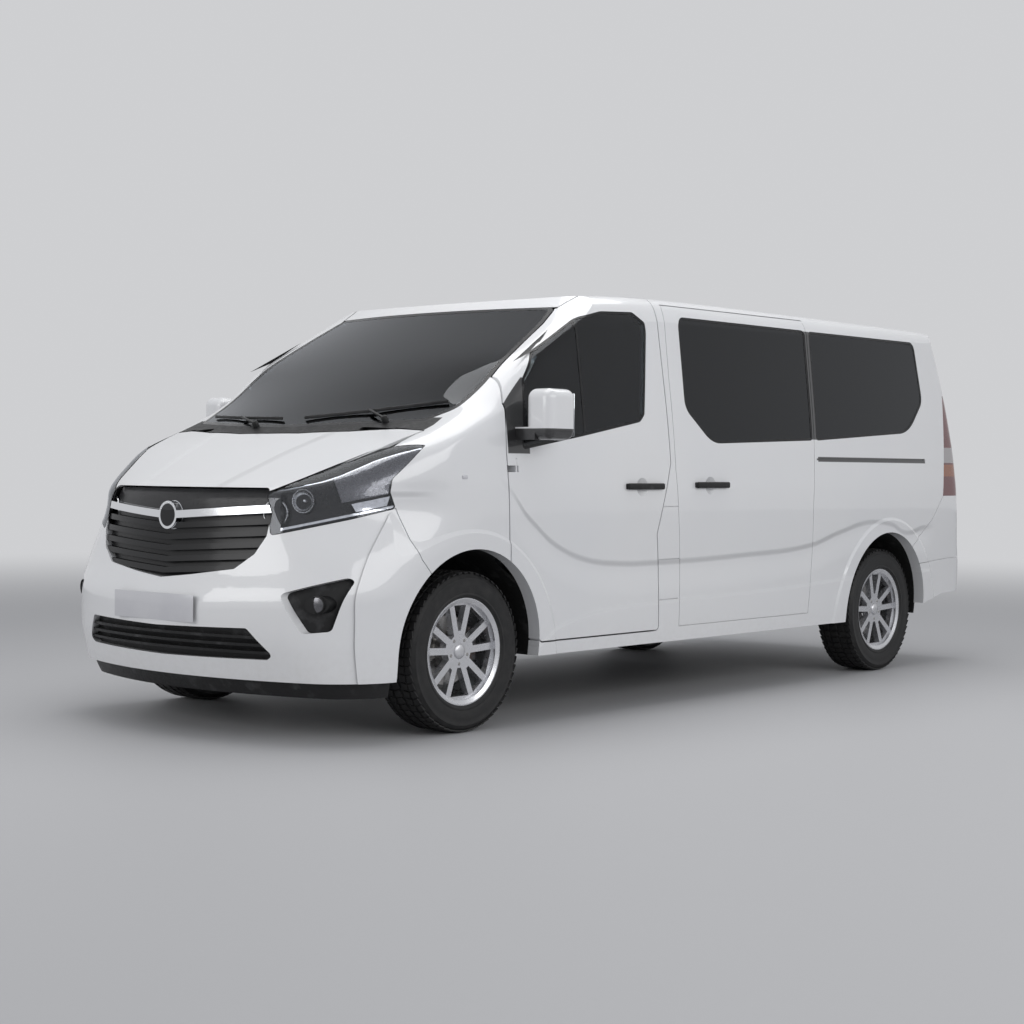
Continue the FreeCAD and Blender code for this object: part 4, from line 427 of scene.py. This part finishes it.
def plateMaterial():
    plate = Shader("plateFace", Roughness=0.35, Coat_Weight=0.5, Coat_Roughness=0.1)
    cloud = plate.range(plate.noise(*plateFinish["cloud"]), *plateFinish["cloudSpan"])
    plate.set(plate.surface, {"Base_Color": plate.mix(cloud, *plateFinish["colours"])})
    plate.bump(plate.noise(*plateFinish["marks"]), *plateFinish["bump"])
    return plate.material


paint = paintMaterial()
blackPlastic = plasticMaterial("blackPlastic", (0.013, 0.013, 0.0135))
glossBlack = plasticMaterial("glossBlack", (0.008, 0.008, 0.009), 0.2, 1400.0, 0.00004, (0.010, 0.010, 0.011))
cabinPlastic = plasticMaterial("cabinPlastic", (0.035, 0.036, 0.039), 0.55, 700.0)
paleTrim = plasticMaterial("paleTrim", (0.42, 0.42, 0.43), 0.5, 500.0, 0.0004, (0.36, 0.36, 0.37))
liner = plasticMaterial("archLiner", (0.01, 0.01, 0.01), 0.7, 300.0, 0.002)
rubber = dustedMaterial("tyreRubber")
alloy = dustedMaterial("silverAlloy")
iron = dustedMaterial("castIron")
steel = metalMaterial("paintedSteel", (0.24, 0.24, 0.25), 0.42)
chrome = metalMaterial("chrome", (0.80, 0.81, 0.83), 0.08, 0.01)
reflector = metalMaterial("lampReflector", (0.88, 0.89, 0.90), 0.24, 0.02)
smoked = metalMaterial("smokedReflector", (0.17, 0.17, 0.18), 0.25, 0.02)
discMetal = metalMaterial("discMetal", (0.42, 0.41, 0.40), 0.3, 0.08, (1, 8, 1), 90.0)
mirrorGlass = metalMaterial("mirrorGlass", (0.75, 0.78, 0.80), 0.03, 0.004)
frontGlass = glassMaterial("frontGlass", (0.70, 0.74, 0.735))
privacyGlass = glassMaterial("privacyGlass", (0.22, 0.22, 0.245))
clearLens = glassMaterial("clearLens", (0.95, 0.955, 0.97), 0.004)
tailLens = lensMaterial("tailLens")
cloth = clothMaterial("seatCloth")
grilleFinish = grilleMaterial()
mirrorFinish = mirrorMaterial()
plateFace = plateMaterial()
print("materials made")

# The material of each CAD node
pairMaterials = {
    "front_door": paint, "sliding_door": paint, "side_panel": paint, "front_wing": paint,
    "door_mirror": mirrorFinish, "door_glass": frontGlass, "knuckle": iron,
}
groupMaterials = {
    "bonnet": paint, "tailgate": paint, "roof_panel": paint, "front_bumper": paint, "rear_bumper": paint,
    "door_hinges": paint, "tailgate_hinges": paint, "bonnet_hinges": steel, "cowl_panel": blackPlastic,
    "headlamps": clearLens, "tail_lamps": tailLens, "windscreen": frontGlass, "side_glass": privacyGlass,
    "tailgate_glass": privacyGlass, "upper_grille": grilleFinish, "lower_grille": blackPlastic,
    "front_valance": blackPlastic, "fog_pockets": blackPlastic, "engine_block": iron,
    "front_subframe": steel, "front_struts": steel, "rear_axle": steel, "exhaust": steel,
    "fuel_tank": blackPlastic, "floor_pan": liner, "wheel_housings": liner, "dashboard": cabinPlastic,
    "steering_wheel": cabinPlastic, "driver_seat": cloth, "passenger_seat": cloth, "middle_bench": cloth,
    "rear_bench": cloth,
}
wheels = {"front_left": (frontAxleX, 1), "front_right": (frontAxleX, -1),
          "rear_left": (rearAxleX, 1), "rear_right": (rearAxleX, -1)}
for name, material in pairMaterials.items():
    for side in sides:
        groupMaterials[name + "_" + side] = material
for corner in wheels:
    groupMaterials["tyre_" + corner] = rubber
    groupMaterials["rim_" + corner] = alloy
for name, material in groupMaterials.items():
    slots = nodes[name].data.materials
    slots.clear()
    slots.append(material)
print("nodes painted")

# Modelling tools shared by the pieces
tools = {"sideRay": 2.0, "endRay": 4.0, "weld": 1e-5, "seamWeld": 1e-6, "facing": 0.3}
surfaces = {}


def surfaceOf(node):
    if node not in surfaces:
        mesh = nodes[node].data
        surfaces[node] = BVHTree.FromPolygons([vert.co for vert in mesh.vertices],
                                              [face.vertices for face in mesh.polygons])
    return surfaces[node]


# Where a line first meets a node's surface
def skinPoint(node, start, direction):
    place = surfaceOf(node).ray_cast(Vector(start), Vector(direction))[0]
    if place is None:
        raise ValueError("nothing of " + node + " in that line")
    return place


def sidePoint(node, x, z, hand):
    return skinPoint(node, (x, tools["sideRay"] * hand, z), (0, -hand, 0))


def endPoint(node, y, z, outward=1):
    return skinPoint(node, (tools["endRay"] * outward, y, z), (-outward, 0, 0))


# Turns a part, puts it in its place and adds it to a shape
def join(shape, part, turn, place, finish):
    for face in part.faces:
        face.material_index = finish
    if turn is not None:
        bmesh.ops.rotate(part, verts=part.verts, cent=(0, 0, 0), matrix=turn)
    bmesh.ops.translate(part, verts=part.verts, vec=place)
    bmesh.ops.recalc_face_normals(part, faces=part.faces)
    made = bpy.data.meshes.new("part")
    part.to_mesh(made)
    part.free()
    shape.from_mesh(made)
    bpy.data.meshes.remove(made)


# A block with its edges rounded
def block(shape, extent, place, edge=0.0, segments=2, turn=None, finish=0):
    part = bmesh.new()
    corners = bmesh.ops.create_cube(part, size=1.0)["verts"]
    bmesh.ops.scale(part, vec=extent, verts=corners)
    if edge:
        bmesh.ops.bevel(part, geom=part.edges[:], offset=edge, offset_type="OFFSET", segments=segments,
                        profile=0.5, affect="EDGES", material=-1)
    join(shape, part, turn, place, finish)


# A bar from one point to another
def bar(shape, start, end, width, height, edge=0.0, segments=2):
    start, end = Vector(start), Vector(end)
    along = end - start
    turn = along.to_track_quat("X", "Z").to_matrix()
    block(shape, (along.length, width, height), (start + end) / 2, edge, segments, turn)


# A turned part: the profile is (radius, distance along the axis)
def turned(shape, profile, place, axis=(0, 1, 0), steps=48, finish=0):
    part = bmesh.new()
    line = [part.verts.new((radius, along, 0)) for radius, along in profile]
    edges = [part.edges.new(pair) for pair in zip(line, line[1:])]
    bmesh.ops.spin(part, geom=line + edges, cent=(0, 0, 0), axis=(0, 1, 0), angle=2 * math.pi, steps=steps,
                   use_merge=True, use_duplicate=False)
    bmesh.ops.remove_doubles(part, verts=part.verts, dist=tools["seamWeld"])
    turn = Vector((0, 1, 0)).rotation_difference(Vector(axis)).to_matrix()
    join(shape, part, turn, place, finish)


# A node's own mesh, its loose triangles merged
def nodeShape(node):
    shape = bmesh.new()
    shape.from_mesh(nodes[node].data)
    bmesh.ops.remove_doubles(shape, verts=shape.verts, dist=tools["weld"])
    return shape


def addPiece(name, shape, materials, body="root", sharp=35):
    bmesh.ops.recalc_face_normals(shape, faces=shape.faces)
    mesh = bpy.data.meshes.new(name)
    shape.to_mesh(mesh)
    shape.free()
    mesh.shade_smooth()
    mesh.set_sharp_from_angle(angle=math.radians(sharp))
    piece = bpy.data.objects.new(name, mesh)
    bpy.context.scene.collection.objects.link(piece)
    for material in materials:
        mesh.materials.append(material)
    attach(piece, body)
    return piece


# The faces of a node that look one way, cut to the side of each plane, as a thin sheet
def skinPatch(node, outward, planes=(), lift=0.0, wall=0.0, least=tools["facing"], inset=0.0):
    shape = nodeShape(node)
    outward = Vector(outward).normalized()
    hidden = [face for face in shape.faces
              if face.normal.dot(outward) < least or face.calc_center_median().y * outward.y < 0]
    bmesh.ops.delete(shape, geom=hidden, context="FACES")
    if inset:
        rim = set(bmesh.ops.inset_region(shape, faces=shape.faces[:], thickness=inset, use_boundary=True,
                                         use_even_offset=True)["faces"])
        bmesh.ops.delete(shape, geom=[face for face in shape.faces if face not in rim], context="FACES")
    for place, normal in planes:
        bmesh.ops.bisect_plane(shape, geom=shape.verts[:] + shape.edges[:] + shape.faces[:], plane_co=place,
                               plane_no=normal, clear_outer=True)
    bmesh.ops.translate(shape, verts=shape.verts, vec=outward * lift)
    if wall:
        bmesh.ops.recalc_face_normals(shape, faces=shape.faces)
        bmesh.ops.solidify(shape, geom=shape.faces[:], thickness=wall)
    return shape


print("tools ready")

# Tyres: carcass with side wall steps as (radius, distance from the middle), and five rows of tread blocks
# as (distance across, width, lean in degrees)
tyreSettings = {
    "steps": 96, "blocks": 58, "blockShare": 0.82, "twist": 14, "chamfer": 0.0012, "crown": 0.3445,
    "groove": 0.0068, "rounding": 0.42,
    "wall": ((0.224, 0.092), (0.238, 0.1005), (0.2415, 0.1045), (0.247, 0.1050), (0.250, 0.1035),
             (0.262, 0.1058), (0.288, 0.1072), (0.306, 0.1066), (0.309, 0.1078), (0.314, 0.1078),
             (0.317, 0.1046), (0.328, 0.0990), (0.3345, 0.0910), (0.3370, 0.0760), (0.3378, 0.0450)),
    "rows": ((-0.0865, 0.026, -11), (-0.0475, 0.031, -2), (0.0, 0.038, 0), (0.0475, 0.031, 2),
             (0.0865, 0.026, 11)),
}


def addTyre(corner, axleX, hand):
    values = tyreSettings
    shape = bmesh.new()
    centre = Vector((axleX, wheelY * hand, wheelZ))
    wall = values["wall"]
    loop = list(wall) + [(radius, -along) for radius, along in reversed(wall)] + [wall[0]]
    turned(shape, loop, centre, steps=values["steps"])
    pitch = 2 * math.pi / values["blocks"]
    length = values["crown"] * pitch * values["blockShare"]
    onward = Matrix.Translation(centre) @ Matrix.Rotation(pitch, 4, "Y") @ Matrix.Translation(-centre)
    for number, (across, width, lean) in enumerate(values["rows"]):
        drop = abs(across) ** 2 * values["rounding"]
        radius = values["crown"] - values["groove"] / 2 - drop
        twist = math.radians(values["twist"] * (-1) ** number)
        turn = Matrix.Rotation(math.radians(-lean), 3, "X") @ Matrix.Rotation(twist, 3, "Z")
        place = Vector((axleX, wheelY * hand + across, wheelZ + radius))
        single = bmesh.new()
        block(single, (length, width, values["groove"]), place, values["chamfer"], 1, turn)
        copied = bpy.data.meshes.new("treadBlock")
        single.to_mesh(copied)
        single.free()
        for step in range(values["blocks"]):
            copied.transform(onward)
            shape.from_mesh(copied)
        bpy.data.meshes.remove(copied)
    piece = addPiece("tyreTread_" + corner, shape, [rubber], "wheel_" + corner)
    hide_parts("tyre_" + corner)


# Wheel bolts, hub cap, brake disc and caliper
wheelTrim = {
    "bolts": 5, "circle": 0.054, "boltSunk": 0.004, "boltSides": 6,
    "bolt": ((0.0, 0.006), (0.0055, 0.006), (0.0085, 0.003), (0.0085, -0.012)),
    "cap": ((0.0, 0.0105), (0.012, 0.0100), (0.024, 0.0080), (0.031, 0.0045), (0.0335, 0.0005),
            (0.0335, -0.004)),
    "capSteps": 40, "hubFace": 0.0655, "discSteps": 72,
    "disc": ((0.078, -0.030), (0.150, -0.030), (0.150, -0.022), (0.146, -0.021), (0.146, -0.013),
             (0.150, -0.012), (0.150, -0.004), (0.084, -0.004), (0.080, 0.016), (0.060, 0.016),
             (0.060, 0.010), (0.074, 0.010), (0.078, -0.030)),
    "caliper": (0.055, 0.075, 0.150), "caliperPlace": (-0.135, -0.018, 0.02), "caliperEdge": 0.012,
}


def addWheelTrim(corner, axleX, hand):
    values = wheelTrim
    centre = Vector((axleX, wheelY * hand, wheelZ))
    outward = Vector((0, hand, 0))
    shape = bmesh.new()
    face = centre + outward * values["hubFace"]
    turned(shape, values["cap"], face, outward, values["capSteps"])
    for number in range(values["bolts"]):
        angle = 2 * math.pi * (number + 0.5) / values["bolts"]
        spot = face + Vector((math.sin(angle), 0, math.cos(angle))) * values["circle"]
        turned(shape, values["bolt"], spot - outward * values["boltSunk"], outward, values["boltSides"], 1)
    addPiece("hubTrim_" + corner, shape, [alloy, discMetal], "wheel_" + corner)
    shape = bmesh.new()
    turned(shape, values["disc"], centre, outward, values["discSteps"])
    addPiece("brakeDisc_" + corner, shape, [discMetal], "wheel_" + corner)
    shape = bmesh.new()
    along, inward, up = values["caliperPlace"]
    block(shape, values["caliper"], centre + Vector((along, inward * hand, up)), values["caliperEdge"], 3)
    carrier = "root" if "rear" in corner else corner.replace("front", "knuckle")
    addPiece("brakeCaliper_" + corner, shape, [iron], carrier)


for corner, (axleX, hand) in wheels.items():
    addTyre(corner, axleX, hand)
    addWheelTrim(corner, axleX, hand)
print("wheels dressed")

# Headlamps: a clear cover over a dark bucket with two bowls as (across, height, radius), a chrome strip, a
# smoked panel, a bezel and an indicator. Planes are (along the lamp, height, slope along, slope up)
lampSettings = {
    "outwardReach": 0.805, "wall": 0.003, "bucketWall": 0.002,
    "tilt": 0.209, "foot": (-0.167, 0.8436), "strip": (0.012, 0.022), "stripLift": -0.007,
    "panel": (0.115, 1.0, -1, -0.35), "panelAbove": 0.052, "panelLift": -0.014,
    "bezelTo": -0.125, "bezelLift": -0.006,
    "signal": ((0.175, 0.95, -1, -0.6), (0.300, 0.95, 1, -0.3)), "signalAbove": (0.004, 0.040),
    "signalLift": -0.010,
    "bowls": ((0.545, 0.935, 0.052), (0.640, 0.985, 0.046)), "bowlSide": 0.9, "setBack": 0.024,
    "bowl": ((1.10, -0.10), (1.06, 0.0), (1.0, 0.0), (0.97, -0.10), (0.82, -0.42), (0.52, -0.68),
             (0.20, -0.76), (0.0, -0.76)),
    "bulb": ((0.0, -0.15), (0.09, -0.17), (0.14, -0.28), (0.14, -0.72)), "bowlSteps": 48, "bulbSteps": 24,
}


def lampPlane(hand, t, z, dt, dz):
    along = Vector((-1, hand, 0)).normalized()
    middle = Vector((frontAxleX, 0, 0)) + Vector((1, hand, 0)).normalized() * lampSettings["outwardReach"]
    return middle + along * t + Vector((0, 0, z)), along * dt + Vector((0, 0, dz))


def addHeadlamp(side, hand):
    values = lampSettings
    outward = Vector((1, hand, 0)).normalized()

    def addSheet(name, planes, lift, material):
        cuts = [lampPlane(hand, *plane) for plane in planes]
        sheet = skinPatch("headlamps", outward, cuts, lift, values["wall"])
        addPiece("headlamp" + name + "_" + side, sheet, [material])

    addSheet("Cover", (), 0.0, clearLens)
    shape = nodeShape("headlamps")
    skin = [face for face in shape.faces
            if face.normal.dot(outward) > tools["facing"] or face.calc_center_median().y * hand < 0]
    bmesh.ops.delete(shape, geom=skin, context="FACES")
    bmesh.ops.solidify(shape, geom=shape.faces[:], thickness=values["bucketWall"])
    addPiece("headlampBucket_" + side, shape, [glossBlack])
    t, z = values["foot"]
    low, high = values["strip"]
    tilt = values["tilt"]
    addSheet("Strip", ((t, z + high, -tilt, 1), (t, z + low, tilt, -1), (values["bezelTo"], 0, -1, 0)),
             values["stripLift"], chrome)
    addSheet("Panel", (values["panel"], (t, z + high + values["panelAbove"], tilt, -1)),
             values["panelLift"], smoked)
    addSheet("Bezel", ((values["bezelTo"], 0, 1, 0),), values["bezelLift"], glossBlack)
    foot, top = values["signalAbove"]
    addSheet("Signal", (*values["signal"], (t, z + high + top, -tilt, 1), (t, z + high + foot, tilt, -1)),
             values["signalLift"], chrome)
    shape = bmesh.new()
    facing = (Vector((1, 0, 0)) + outward * values["bowlSide"]).normalized()
    for across, height, radius in values["bowls"]:
        spot = endPoint("headlamps", across * hand, height) - outward * values["setBack"]
        for part, steps in (("bowl", values["bowlSteps"]), ("bulb", values["bulbSteps"])):
            profile = [(reach * radius, along * radius) for reach, along in values[part]]
            turned(shape, profile, spot, facing, steps)
    addPiece("headlampBowls_" + side, shape, [reflector])


for side, hand in sides.items():
    addHeadlamp(side, hand)
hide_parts("headlamps")
print("headlamps built")

# Number plates, blank, on their carriers; the spots are (across, height)
plateSettings = {
    "extent": (0.004, 0.516, 0.113), "carrier": (0.008, 0.500, 0.098), "front": (-0.0075, 0.539),
    "rear": (0.0, 1.02), "probes": ((-0.25, 0, 0.25), (-0.055, 0.055)), "stand": 0.0012,
    "edge": 0.0012, "carrierEdge": 0.003,
}


def addPlate(name, node, spot, outward, body):
    values = plateSettings
    y, z = spot
    probesY, probesZ = values["probes"]
    reach = max(outward * endPoint(node, y + dy, z + dz, outward).x for dy in probesY for dz in probesZ)
    middle = outward * (reach - values["carrier"][0] / 2)
    shape = bmesh.new()
    block(shape, values["carrier"], (middle, y, z), values["carrierEdge"], finish=1)
    block(shape, values["extent"], (outward * (reach + values["stand"]), y, z), values["edge"])
    addPiece(name, shape, [plateFace, blackPlastic], body)


addPlate("frontPlate", "front_bumper", plateSettings["front"], 1, "root")
addPlate("rearPlate", "tailgate", plateSettings["rear"], -1, "tailgate")
print("plates mounted")

# Fog lamps: a black ring and a small domed glass in each pocket
fogSettings = {
    "spot": (0.765, 0.572), "side": 0.35, "steps": 40,
    "ring": ((0.0365, -0.012), (0.0365, 0.004), (0.0335, 0.006), (0.031, 0.002), (0.031, -0.012),
             (0.0365, -0.012)),
    "glass": ((0.0, 0.0045), (0.012, 0.0040), (0.022, 0.0022), (0.030, 0.0), (0.030, -0.004)),
}
for side, hand in sides.items():
    y, z = fogSettings["spot"]
    spot = endPoint("fog_pockets", y * hand, z)
    facing = (1, fogSettings["side"] * hand, 0)
    shape = bmesh.new()
    turned(shape, fogSettings["ring"], spot, facing, fogSettings["steps"])
    turned(shape, fogSettings["glass"], spot, facing, fogSettings["steps"], 1)
    addPiece("fogLamp_" + side, shape, [blackPlastic, smoked])
print("fog lamps set")

# Door handles: a bar across each cup, on two feet; each door has (front, back, height)
handleSettings = {
    "front_door": (0.7295, 0.4485, 1.046), "sliding_door": (0.1765, -0.0985, 1.052),
    "stand": 0.014, "bar": (0.017, 0.030, 0.0075, 4), "foot": (0.034, 0.022, 0.027), "footEdge": 0.006,
    "footIn": 0.018, "footLift": 0.35, "sharp": 50,
}


def addHandle(door, side, hand):
    values = handleSettings
    front, back, level = values[door]
    node = door + "_" + side
    start, end = sidePoint(node, front, level, hand), sidePoint(node, back, level, hand)
    lift = Vector((0, hand * values["stand"], 0))
    shape = bmesh.new()
    bar(shape, start + lift, end + lift, *values["bar"])
    inward = (end - start).normalized() * values["footIn"]
    for spot in (start + inward, end - inward):
        block(shape, values["foot"], spot + lift * values["footLift"], values["footEdge"], 3)
    body = node if door == "front_door" else "root"
    addPiece("handle_" + node, shape, [blackPlastic], body, values["sharp"])


for door in ("front_door", "sliding_door"):
    for side, hand in sides.items():
        addHandle(door, side, hand)
print("handles fitted")

# Window seals, and the bar that parts the door glass
sealSettings = {"width": 0.013, "windscreenWidth": 0.022, "rearWidth": 0.03, "lift": 0.0015, "facing": 0.35,
                "barX": 1.035, "bar": 0.016, "barSlope": 0.02, "sharp": 60}


def addSeal(name, node, outward, body, width=0.0, planes=()):
    values = sealSettings
    shape = skinPatch(node, outward, planes, values["lift"], 0.0, values["facing"], width)
    addPiece(name, shape, [glossBlack], body, values["sharp"])


for side, hand in sides.items():
    node, body = "door_glass_" + side, "front_door_" + side
    outward = (0, hand, 0)
    addSeal("doorSeal_" + side, node, outward, body, sealSettings["width"])
    addSeal("sideSeals_" + side, "side_glass", outward, "root", sealSettings["width"])
    half, slope = sealSettings["bar"] / 2, sealSettings["barSlope"]
    edges = [((sealSettings["barX"] + way * half, 0, 0), (way, 0, way * slope)) for way in (1, -1)]
    addSeal("doorDivider_" + side, node, outward, body, planes=edges)
addSeal("windscreenBorder", "windscreen", (1, 0, 0), "root", sealSettings["windscreenWidth"])
addSeal("rearGlassBorder", "tailgate_glass", (-1, 0, 0), "tailgate", sealSettings["rearWidth"])
print("seals laid")

# Wipers, parked at the foot of the windscreen: three spots of the blade and the pivot, as (across, height)
wiperSettings = {
    "wiperLeft": ((0.10, 1.335), (0.42, 1.362), (0.73, 1.405), (0.56, 1.330)),
    "wiperRight": ((-0.66, 1.352), (-0.36, 1.340), (-0.04, 1.333), (-0.16, 1.312)),
    "lift": 0.012, "slope": (0.7, 0, 0.7), "blade": (0.009, 0.014, 0.003), "arm": (0.014, 0.009, 0.003),
    "pivotOff": (0.03, 0, 0.006), "armOff": (0.004, 0, 0.006), "pivotAxis": (0.5, 0, 0.85), "pivotSteps": 24,
    "pivot": ((0.0, 0.014), (0.010, 0.012), (0.015, 0.004), (0.015, -0.02)),
}


def addWiper(name):
    values = wiperSettings
    lift = Vector(values["slope"]) * values["lift"]
    *bladeSpots, (y, z) = values[name]
    spots = [endPoint("windscreen", *spot) + lift for spot in bladeSpots]
    pivot = endPoint("windscreen", y, z) + Vector(values["pivotOff"])
    shape = bmesh.new()
    for start, end in zip(spots, spots[1:]):
        bar(shape, start, end, *values["blade"])
    bar(shape, pivot, spots[1] + Vector(values["armOff"]), *values["arm"])
    turned(shape, values["pivot"], pivot, values["pivotAxis"], values["pivotSteps"])
    addPiece(name, shape, [blackPlastic])


for name in ("wiperLeft", "wiperRight"):
    addWiper(name)
print("wipers parked")

# Mirror glasses, side markers, inner mirror and the handle of the tailgate
smallParts = {
    "marker": (1.8305, 1.087), "markerExtent": (0.032, 0.010, 0.017), "markerEdge": 0.004,
    "innerMirror": (1.045, 0.0, 1.752), "innerExtent": (0.024, 0.235, 0.062), "innerEdge": 0.010,
    "stalkFrom": (0.008, 0, 0.02), "stalkFoot": (0, 1.835), "stalkIn": (0.012, 0, 0.008),
    "stalk": (0.022, 0.022, 0.006),
    "gripSpot": (0, 1.125), "gripOff": (-0.004, 0, 0), "grip": (0.030, 0.62, 0.045), "gripEdge": 0.010,
}


def addMirrorGlass(side, hand):
    values = mirrorSettings
    low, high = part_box("door_mirror_" + side)
    inset = values["glassInset"]
    outer = max(abs(low.y), abs(high.y))
    inner = values["glassFrom"]
    shape = bmesh.new()
    block(shape, (values["glassWall"], outer - inner - 2 * inset, (high.z - low.z) - 2 * inset),
          (low.x, hand * (inner + outer) / 2, (low.z + high.z) / 2), values["glassEdge"])
    addPiece("mirrorGlass_" + side, shape, [mirrorGlass], "front_door_" + side)


def addMarker(side, hand):
    shape = bmesh.new()
    spot = sidePoint("front_wing_" + side, *smallParts["marker"], hand)
    block(shape, smallParts["markerExtent"], spot, smallParts["markerEdge"], 3)
    addPiece("sideMarker_" + side, shape, [plateFace])


for side, hand in sides.items():
    addMirrorGlass(side, hand)
    addMarker(side, hand)
shape = bmesh.new()
place = Vector(smallParts["innerMirror"])
block(shape, smallParts["innerExtent"], place, smallParts["innerEdge"], 4)
stalkFoot = endPoint("windscreen", *smallParts["stalkFoot"]) - Vector(smallParts["stalkIn"])
bar(shape, place + Vector(smallParts["stalkFrom"]), stalkFoot, *smallParts["stalk"])
addPiece("innerMirror", shape, [paleTrim])
shape = bmesh.new()
spot = endPoint("tailgate", *smallParts["gripSpot"], -1) + Vector(smallParts["gripOff"])
block(shape, smallParts["grip"], spot, smallParts["gripEdge"], 3)
addPiece("tailgateHandle", shape, [glossBlack], "tailgate")
print("small parts fitted")

# Seats: the hard outlines are remeshed and eased into padded forms
seatSettings = {"voxel": 0.011, "rounds": 5, "ease": 0.5, "fill": 0.6, "sharp": 80}


def addSeat(node):
    values = seatSettings
    shape = nodeShape(node)
    mesh = bpy.data.meshes.new(node + "Pads")
    shape.to_mesh(mesh)
    shape.free()
    form = bpy.data.objects.new(node + "Form", mesh)
    bpy.context.scene.collection.objects.link(form)
    remesh = form.modifiers.new("remesh", "REMESH")
    remesh.mode = "VOXEL"
    remesh.voxel_size = values["voxel"]
    made = bpy.data.meshes.new_from_object(form.evaluated_get(bpy.context.evaluated_depsgraph_get()))
    bpy.data.objects.remove(form)
    pads = bmesh.new()
    pads.from_mesh(made)
    for step in range(values["rounds"]):
        bmesh.ops.smooth_vert(pads, verts=pads.verts, factor=values["ease"], use_axis_x=True, use_axis_y=True,
                              use_axis_z=True)
    piece = addPiece(node + "Pads", pads, [cloth], sharp=values["sharp"])
    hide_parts(node)


for node in ("driver_seat", "passenger_seat", "middle_bench", "rear_bench"):
    addSeat(node)
print("seats padded")

# Studio: a pale floor that fades into the background, and three lamps as (name, place, turn, extent, power)
studio = {
    "floorRadius": 60.0, "floorSides": 96, "floorColour": (0.50, 0.50, 0.51), "floorGrain": (60.0, 3.0),
    "floorBump": (0.02, 0.001), "pale": (0.62, 0.625, 0.64), "fill": (0.40, 0.41, 0.43), "fade": (4.5, 16.0),
    "lamps": (
        ("overhead", (0.0, 0.0, 5.4), (0, 0, 0), (7.0, 3.4), 150.0),
        ("sideSoftbox", (1.0, 7.5, 3.4), (math.radians(-66), 0, 0), (9.0, 2.6), 170.0),
        ("noseSoftbox", (8.5, -1.5, 2.8), (0, math.radians(72), 0), (2.4, 5.0), 105.0),
    ),
}


def addFloor():
    mesh = bpy.data.meshes.new("studioFloor")
    shape = bmesh.new()
    bmesh.ops.create_circle(shape, cap_ends=True, radius=studio["floorRadius"], segments=studio["floorSides"])
    shape.to_mesh(mesh)
    shape.free()
    floor = bpy.data.objects.new("studioFloor", mesh)
    bpy.context.scene.collection.objects.link(floor)
    ground = Shader("paleFloor", Base_Color=studio["floorColour"], Roughness=0.6)
    ground.bump(ground.noise(*studio["floorGrain"]), *studio["floorBump"])
    place = ground.add("ShaderNodeTexCoord").outputs["Object"]
    away = ground.add("ShaderNodeVectorMath", {"Vector": place}, operation="LENGTH").outputs["Value"]
    seen = ground.add("ShaderNodeLightPath").outputs["Is Camera Ray"]
    glow = ground.add("ShaderNodeEmission", {"Color": studio["pale"]}).outputs[0]
    fade = ground.math("MULTIPLY", ground.smooth(away, *studio["fade"]), seen)
    mesh.materials.append(ground.mixOut(fade, ground.surface.outputs[0], glow))


def addLamps():
    for name, place, turn, extent, power in studio["lamps"]:
        data = bpy.data.lights.new(name, "AREA")
        data.shape = "RECTANGLE"
        data.size, data.size_y = extent
        data.energy = power
        lamp = bpy.data.objects.new(name, data)
        lamp.location = place
        lamp.rotation_euler = turn
        bpy.context.scene.collection.objects.link(lamp)


# The world looks pale and lights the shadows more softly
def addWorld():
    world = bpy.data.worlds.new("studio")
    bpy.context.scene.world = world
    world.use_nodes = True
    tree = world.node_tree
    paths = tree.nodes.new("ShaderNodeLightPath").outputs
    seen = paths["Is Camera Ray"]
    for other in ("Is Glossy Ray", "Is Transmission Ray"):
        joined = tree.nodes.new("ShaderNodeMath")
        joined.operation = "MAXIMUM"
        tree.links.new(seen, joined.inputs[0])
        tree.links.new(paths[other], joined.inputs[1])
        seen = joined.outputs[0]
    mix = tree.nodes.new("ShaderNodeMix")
    mix.data_type = "RGBA"
    tree.links.new(seen, mix.inputs[mixSockets["factor"]])
    mix.inputs[mixSockets["first"]].default_value = (*studio["fill"], 1)
    mix.inputs[mixSockets["second"]].default_value = (*studio["pale"], 1)
    tree.links.new(mix.outputs[mixSockets["result"]], tree.nodes["Background"].inputs["Color"])


addFloor()
addLamps()
addWorld()
print("studio built")
